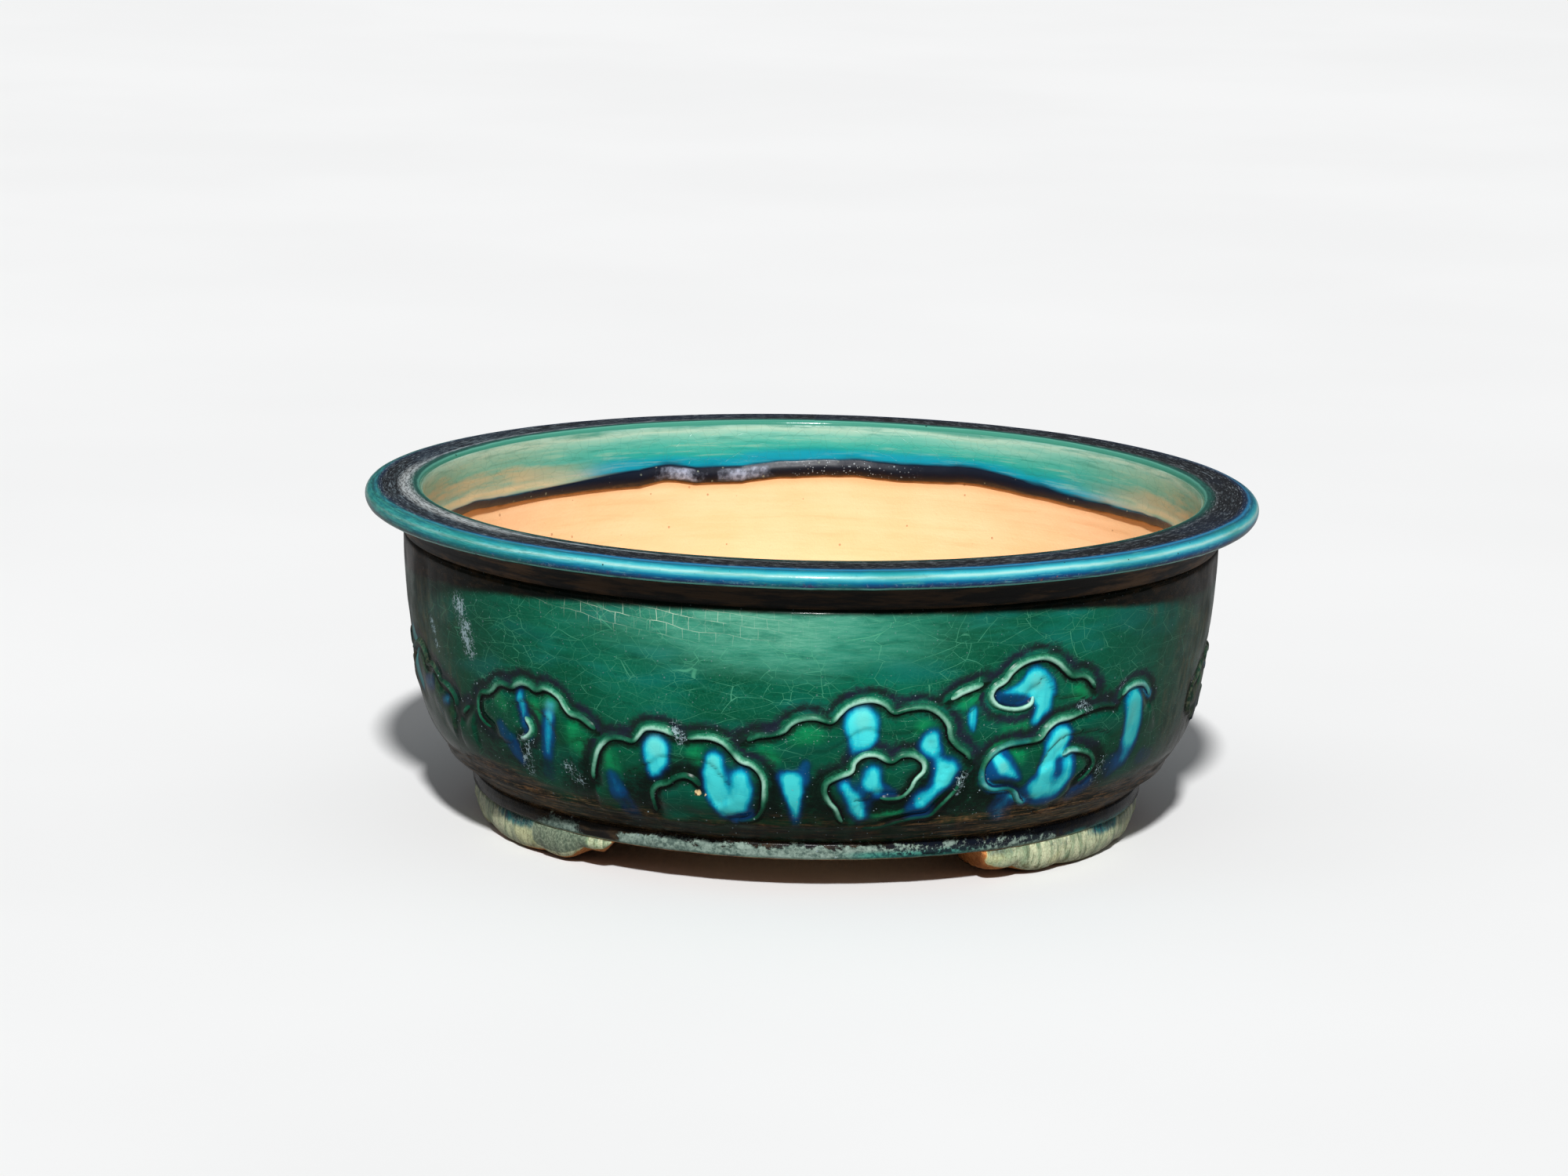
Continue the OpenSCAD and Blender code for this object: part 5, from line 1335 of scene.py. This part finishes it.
def build_feet():
    mat = foot_glaze("foot_glaze_celadon")
    sect = [(111.9, 1.0), (112.2, 0.86), (112.45, 0.72), (112.5, 0.56), (112.2, 0.40), (111.5, 0.24), (110.5, 0.11), (109.0, 0.03), (107.2, 0.0),
            (103.5, 0.0), (99.5, 0.0), (95.5, 0.0), (92.6, 0.02), (91.4, 0.10), (91.7, 0.24), (92.8, 0.42), (94.6, 0.65), (96.6, 0.88), (97.2, 1.0)]
    for node, th, teal_at in (("foot_front_left", -61.0, (0.10, 0.30)), ("foot_front_right", 59.0, (0.12, 0.26)), ("foot_back", 179.0, (-0.3, 0.25))):
        top = RING_Z0 + 0.35
        ys = np.sin(np.linspace(-1, 1, 181)*math.pi/2*0.985)*55.0

        def under(y):
            c = 119.9 - np.sqrt(120.0**2 - y*y)
            s = 25.7 - np.sqrt(np.clip(25.0**2 - (np.abs(y) - 26.0)**2, 0, None))
            s = np.where(np.abs(np.abs(y) - 26.0) > 24.0, 99, s)
            e = 17.3 - np.sqrt(np.clip(14.0**2 - (np.abs(y) - 43.0)**2, 0, None))
            e = np.where(np.abs(np.abs(y) - 43.0) > 13.6, 99, e)
            return np.maximum(np.minimum(np.minimum(c, s), e), 0.0)
        zb = under(ys)
        rad = math.radians(th)
        er = np.array([math.sin(rad), -math.cos(rad), 0.0])
        et = np.array([math.cos(rad), math.sin(rad), 0.0])
        V, A, B = [], [], []
        for y, zy in zip(ys, zb):
            for r, f in sect:
                # each end runs up under the ring, square to the pot's front
                rc = min(r, 112.4) - 95.0
                if node == "foot_front_left" and y > 0:
                    lim = 35.0 + 1.05*rc
                elif node == "foot_front_right" and y < 0:
                    lim = 44.5 + 0.53*rc
                else:
                    lim = 42.0 + 0.66*rc
                left = node == "foot_front_left" and y > 0
                z0 = zy + (2.5*float(sstep(lim - 22.0, lim - 9.0, abs(y))) if left else 0.0)
                z0 = min(z0, top - 0.3)
                z0 = z0 + (top - 0.3 - z0)*float(sstep(lim - (5.5 if left else 3.6), lim, abs(y)))
                z = z0 + (top - z0)*f
                r2 = r + (0.0 if r < 104 else -0.9*(1 - min(1.0, (top - z0)/11.0)) )
                px = math.sqrt(max(r2*r2 - y*y, 1.0))
                p = er*px + et*y + np.array([0, 0, z])
                q = fnoise(p, 6, 3)
                if f < 0.999 and r > 104:
                    grow = (0.42*q + 0.30*float(fnoise(p + 40, 3.2, 2, (1, 1, 0.35))) - 0.12)*math.sin(math.pi*min(f + 0.12, 1))
                    p = p + er*grow
                if 0.001 < f < 0.999:
                    p[2] = max(p[2] + 0.12*q, 0.02)
                V.append(p)
                bare = 0.0
                if r <= 107.3 and f < 0.9:
                    bare = 1.0
                elif f < 0.6:
                    # bare along the lowest edge, more so towards the ends
                    cut = (0.19 if node == "foot_front_left" and y > -18 else 0.12) + 0.20*float(sstep(lim - 18.0, lim - 3.0, abs(y)))
                    bare = (cut - f)*3.4 + 0.30*float(fnoise(p, 14, 2)) + (0.14 if node == "foot_front_left" else 0.05)
                # the ends of a foot, under the ring, stay bare
                bare = max(bare, float(sstep(lim - 4.0, lim - 1.2, abs(y)))*0.9)
                tl = math.exp(-((y/55.0 - teal_at[0])/teal_at[1])**2)*float(sstep(0.5, 0.9, f))
                A.append((f, np.clip(bare, 0, 1), tl))
                patch = 0.0
                if node == "foot_front_left":
                    patch = float(sstep(13, 20, y)*(1 - sstep(38, 45, y))*sstep(0.10, 0.34, f))
                B.append((patch, 0.0, 0.0))
        K, n = len(sect), len(ys)
        F = []
        for i in range(n - 1):
            for k in range(K):
                a, b = i*K + k, i*K + (k + 1) % K
                F.append((a, b, b + K, a + K))
        F.append(tuple(range(K))[::-1])
        F.append(tuple((n - 1)*K + k for k in range(K)))
        ob = mesh_from(node + "_glazed", np.array(V)*MM, F, {"foot_a": np.array(A), "foot_b": np.array(B)})
        ob.data.materials.append(mat)
        place(ob, node)


# ------------------------------------------------------------------ the floor
def build_slab():
    """The floor disc with its drain hole and four tie-wire holes, edges eased."""
    z0, z1 = SLAB_Z0, SLAB_Z1
    holes = [(0.0, 0.0, 15.0)] + [(62*math.cos(math.radians(a)), 62*math.sin(math.radians(a)), 3.0) for a in (45, 135, 225, 315)]
    step = 1.5
    m = int(SLAB_R/step) + 2
    # top and bottom sheets from a Delaunay mesh of rings and fill points
    from mathutils.geometry import delaunay_2d_cdt
    pts, edges, loops = [], [], []

    def ring(cx, cy, r, k):
        i0 = len(pts)
        for j in range(k):
            a = 2*math.pi*j/k
            pts.append(Vector((cx + r*math.cos(a), cy + r*math.sin(a))))
        for j in range(k):
            edges.append((i0 + j, i0 + (j + 1) % k))
        loops.append((i0, k))
    ease = 0.7
    ring(0, 0, SLAB_R, 240)
    for cx, cy, r in holes:
        ring(cx, cy, r + ease, 72 if r > 10 else 28)
    rr = 5.0
    while rr < SLAB_R - 2:
        k = max(12, int(2*math.pi*rr/3.2))
        for j in range(k):
            a = 2*math.pi*(j + 0.5*(int(rr) % 2))/k
            x, y = rr*math.cos(a), rr*math.sin(a)
            if all(math.hypot(x - cx, y - cy) > r + ease + 1.2 for cx, cy, r in holes):
                pts.append(Vector((x, y)))
        rr += 3.2
    v2, _, f2, _, _, _ = delaunay_2d_cdt(pts, edges, [], 0, 1e-6)
    keep = []
    for f in f2:
        c = sum((v2[i] for i in f), Vector((0, 0)))/len(f)
        if c.length < SLAB_R and all(math.hypot(c.x - cx, c.y - cy) > r + ease*0.98 for cx, cy, r in holes):
            a = v2[f[0]]; b = v2[f[1]]; d = v2[f[2]]
            ccw = (b - a).cross(d - a) > 0
            keep.append(tuple(f) if ccw else tuple(reversed(f)))
    n2 = len(v2)
    xy = np.array([tuple(v) for v in v2])
    p = np.column_stack([xy, np.full(n2, z1)])
    rad = np.hypot(xy[:, 0], xy[:, 1])
    ang = np.arctan2(xy[:, 1], xy[:, 0])
    spiral = np.sin(rad*2*math.pi/6.4 + ang)
    zt = z1 - 0.30 + 0.18*spiral*sstep(16, 24, rad)*(1 - sstep(100, 106, rad)) + 0.10*fnoise(p, 18, 2)
    zt = np.minimum(zt, z1)
    zb = z0 + 0.15 + 0.10*fnoise(p + 50, 16, 2)
    zb = np.maximum(zb, z0)
    V = [(x, y, z) for (x, y), z in zip(xy, zt)] + [(x, y, z) for (x, y), z in zip(xy, zb)]
    F = list(keep) + [tuple(i + n2 for i in reversed(f)) for f in keep]
    # walls: find boundary loops from the kept faces
    cnt = {}
    for f in keep:
        for a, b in zip(f, f[1:] + f[:1]):
            cnt[(a, b)] = 1
    bound = [(a, b) for (a, b) in cnt if (b, a) not in cnt]
    nxt = dict(bound)
    seen = set()
    for a0 in list(nxt):
        if a0 in seen:
            continue
        loop = [a0]
        seen.add(a0)
        b = nxt[a0]
        while b != a0:
            loop.append(b); seen.add(b)
            b = nxt[b]
        c = xy[loop].mean(0)
        r = np.hypot(*(xy[loop] - c).T).mean()
        hole = r < 50
        rows = [[i for i in loop]]
        if hole:
            for dz, rr2 in ((0.25, ease*0.3), (ease, 0.0), (None, 0.0), (-ease, 0.0), (-0.25, ease*0.3)):
                row = []
                for i in loop:
                    u = (xy[i] - c)/np.linalg.norm(xy[i] - c)
                    q = c + u*(r - ease + rr2)
                    if dz is None:
                        z = (z0 + z1)/2
                    elif dz > 0:
                        z = zt[i] - dz
                    else:
                        z = zb[i] - dz
                    row.append(len(V)); V.append((q[0], q[1], z))
                rows.append(row)
        rows.append([i + n2 for i in loop])
        for ra, rb in zip(rows[:-1], rows[1:]):
            L = len(ra)
            for j in range(L):
                F.append((ra[(j + 1) % L], ra[j], rb[j], rb[(j + 1) % L]))
    ob = mesh_from("floor_slab_clay", np.array(V, float)*MM, F)
    ob.data.materials.append(bare_clay("bare_clay_floor", attr=False))
    return place(ob, "floor_slab")


# ------------------------------------------------------------------ build all
wall = build_wall()
build_clouds()
rim = build_rim()
mouth = build_mouth()
ring = build_ring()
build_feet()
slab = build_slab()


# ------------------------------------------------------------------ the set
def floor_mat():
    """Pale matt floor. Only its bounce is held back, as a dark flag under the camera would."""
    g = Mat("pale_studio_floor")
    n = g.noise(400, 3, 0.5)
    g2 = g.noise(6, 3, 0.6)
    c = g.mix(g.step(n, 0.3, 0.7), (0.88, 0.88, 0.875), (0.91, 0.91, 0.905))
    lp = g.t.nodes.new("ShaderNodeLightPath")
    c = g.mix(lp.outputs["Is Camera Ray"], (0.30, 0.30, 0.30), c)
    return g.finish(c, g.math("MULTIPLY_ADD", g2, 0.1, 0.75), g.bump(g2, 0.02), spec=0.05)


fl = []
S = 14.0
for iy in range(2):
    for ix in range(2):
        fl.append((S*(2*ix - 1), S*(2*iy - 1), 0.0))
floor = mesh_from("studio_floor", np.array(fl), [(0, 1, 3, 2)], smooth=False)
floor.data.materials.append(floor_mat())

world = bpy.data.worlds.new("studio_world")
scene.world = world
world.use_nodes = True
wt = world.node_tree
wt.nodes.clear()
wo = wt.nodes.new("ShaderNodeOutputWorld")
wb = wt.nodes.new("ShaderNodeBackground")
tc = wt.nodes.new("ShaderNodeTexCoord")
sx = wt.nodes.new("ShaderNodeSeparateXYZ")
wr = wt.nodes.new("ShaderNodeValToRGB")
wt.links.new(tc.outputs["Generated"], sx.inputs[0])
wt.links.new(sx.outputs[2], wr.inputs[0])
lp = wt.nodes.new("ShaderNodeLightPath")
wm = wt.nodes.new("ShaderNodeMix")
wm.data_type = "RGBA"
wt.links.new(lp.outputs["Is Camera Ray"], wm.inputs["Factor"])
wt.links.new(wr.outputs[0], wm.inputs[6])
wm.inputs[7].default_value = (1.9, 1.9, 1.9, 1)
wt.links.new(wm.outputs[2], wb.inputs[0])
wt.links.new(wb.outputs[0], wo.inputs[0])
el = wr.color_ramp.elements
el[0].position, el[0].color = 0.0, (0.16, 0.165, 0.17, 1)
el[1].position, el[1].color = 1.0, (0.75, 0.77, 0.8, 1)
for pos, v in ((0.22, 0.16), (0.5, 0.42)):
    e = el.new(pos)
    e.color = (v, v*1.02, v*1.05, 1)
wb.inputs[1].default_value = 0.42

sun = bpy.data.lights.new("key_sun", "SUN")
sun.energy = 3.9
sun.angle = math.radians(4.0)
sun_ob = bpy.data.objects.new("key_sun", sun)
scene.collection.objects.link(sun_ob)
SUN_AZ, SUN_EL = 1.5, 41.0            # degrees round from the front, degrees up
sd = Vector((math.sin(math.radians(SUN_AZ))*math.cos(math.radians(SUN_EL)),
             -math.cos(math.radians(SUN_AZ))*math.cos(math.radians(SUN_EL)), math.sin(math.radians(SUN_EL))))
sun_ob.rotation_euler = sd.to_track_quat("Z", "Y").to_euler()

# Camera: 2000 x 1500 frame, from the front, 10.2 degrees up, 1.2 degrees of roll.
D, PHI, RHO, F_PX, U0, V0 = 12.931889, 0.1776722, 0.0213465, 7357.9055, 1035.9204, 618.8435
c = np.array([0.0, -math.cos(PHI), math.sin(PHI)])*D
to = -c/np.linalg.norm(c)
right = np.cross(to, [0, 0, 1.0]); right /= np.linalg.norm(right)
up = np.cross(right, to)
right, up = right*math.cos(RHO) + up*math.sin(RHO), -right*math.sin(RHO) + up*math.cos(RHO)
aim = np.array([U0 - 1000.0, -(V0 - 750.0), F_PX]); aim /= np.linalg.norm(aim)
zax = np.array([0, 0, 1.0])
vx = np.cross(zax, aim)
K = np.array([[0, -vx[2], vx[1]], [vx[2], 0, -vx[0]], [-vx[1], vx[0], 0]])
Rm = np.eye(3) + K + K @ K/(1 + aim[2])
rows = Rm @ np.array([right, up, to])
cam = bpy.data.cameras.new("camera")
cam.lens = F_PX/2000.0*36.0
cam.sensor_width = 36.0
cam.sensor_fit = "HORIZONTAL"
cam.clip_end = 100.0
cam_ob = bpy.data.objects.new("camera", cam)
scene.collection.objects.link(cam_ob)
pos = c*RIM_R*MM + np.array([0, 0, RIM_Z*MM])
M = Matrix.Identity(4)
for i in range(3):
    M[i][0], M[i][1], M[i][2], M[i][3] = rows[0][i], rows[1][i], -rows[2][i], pos[i]
cam_ob.matrix_world = M
scene.camera = cam_ob
scene.view_settings.view_transform = "Standard"
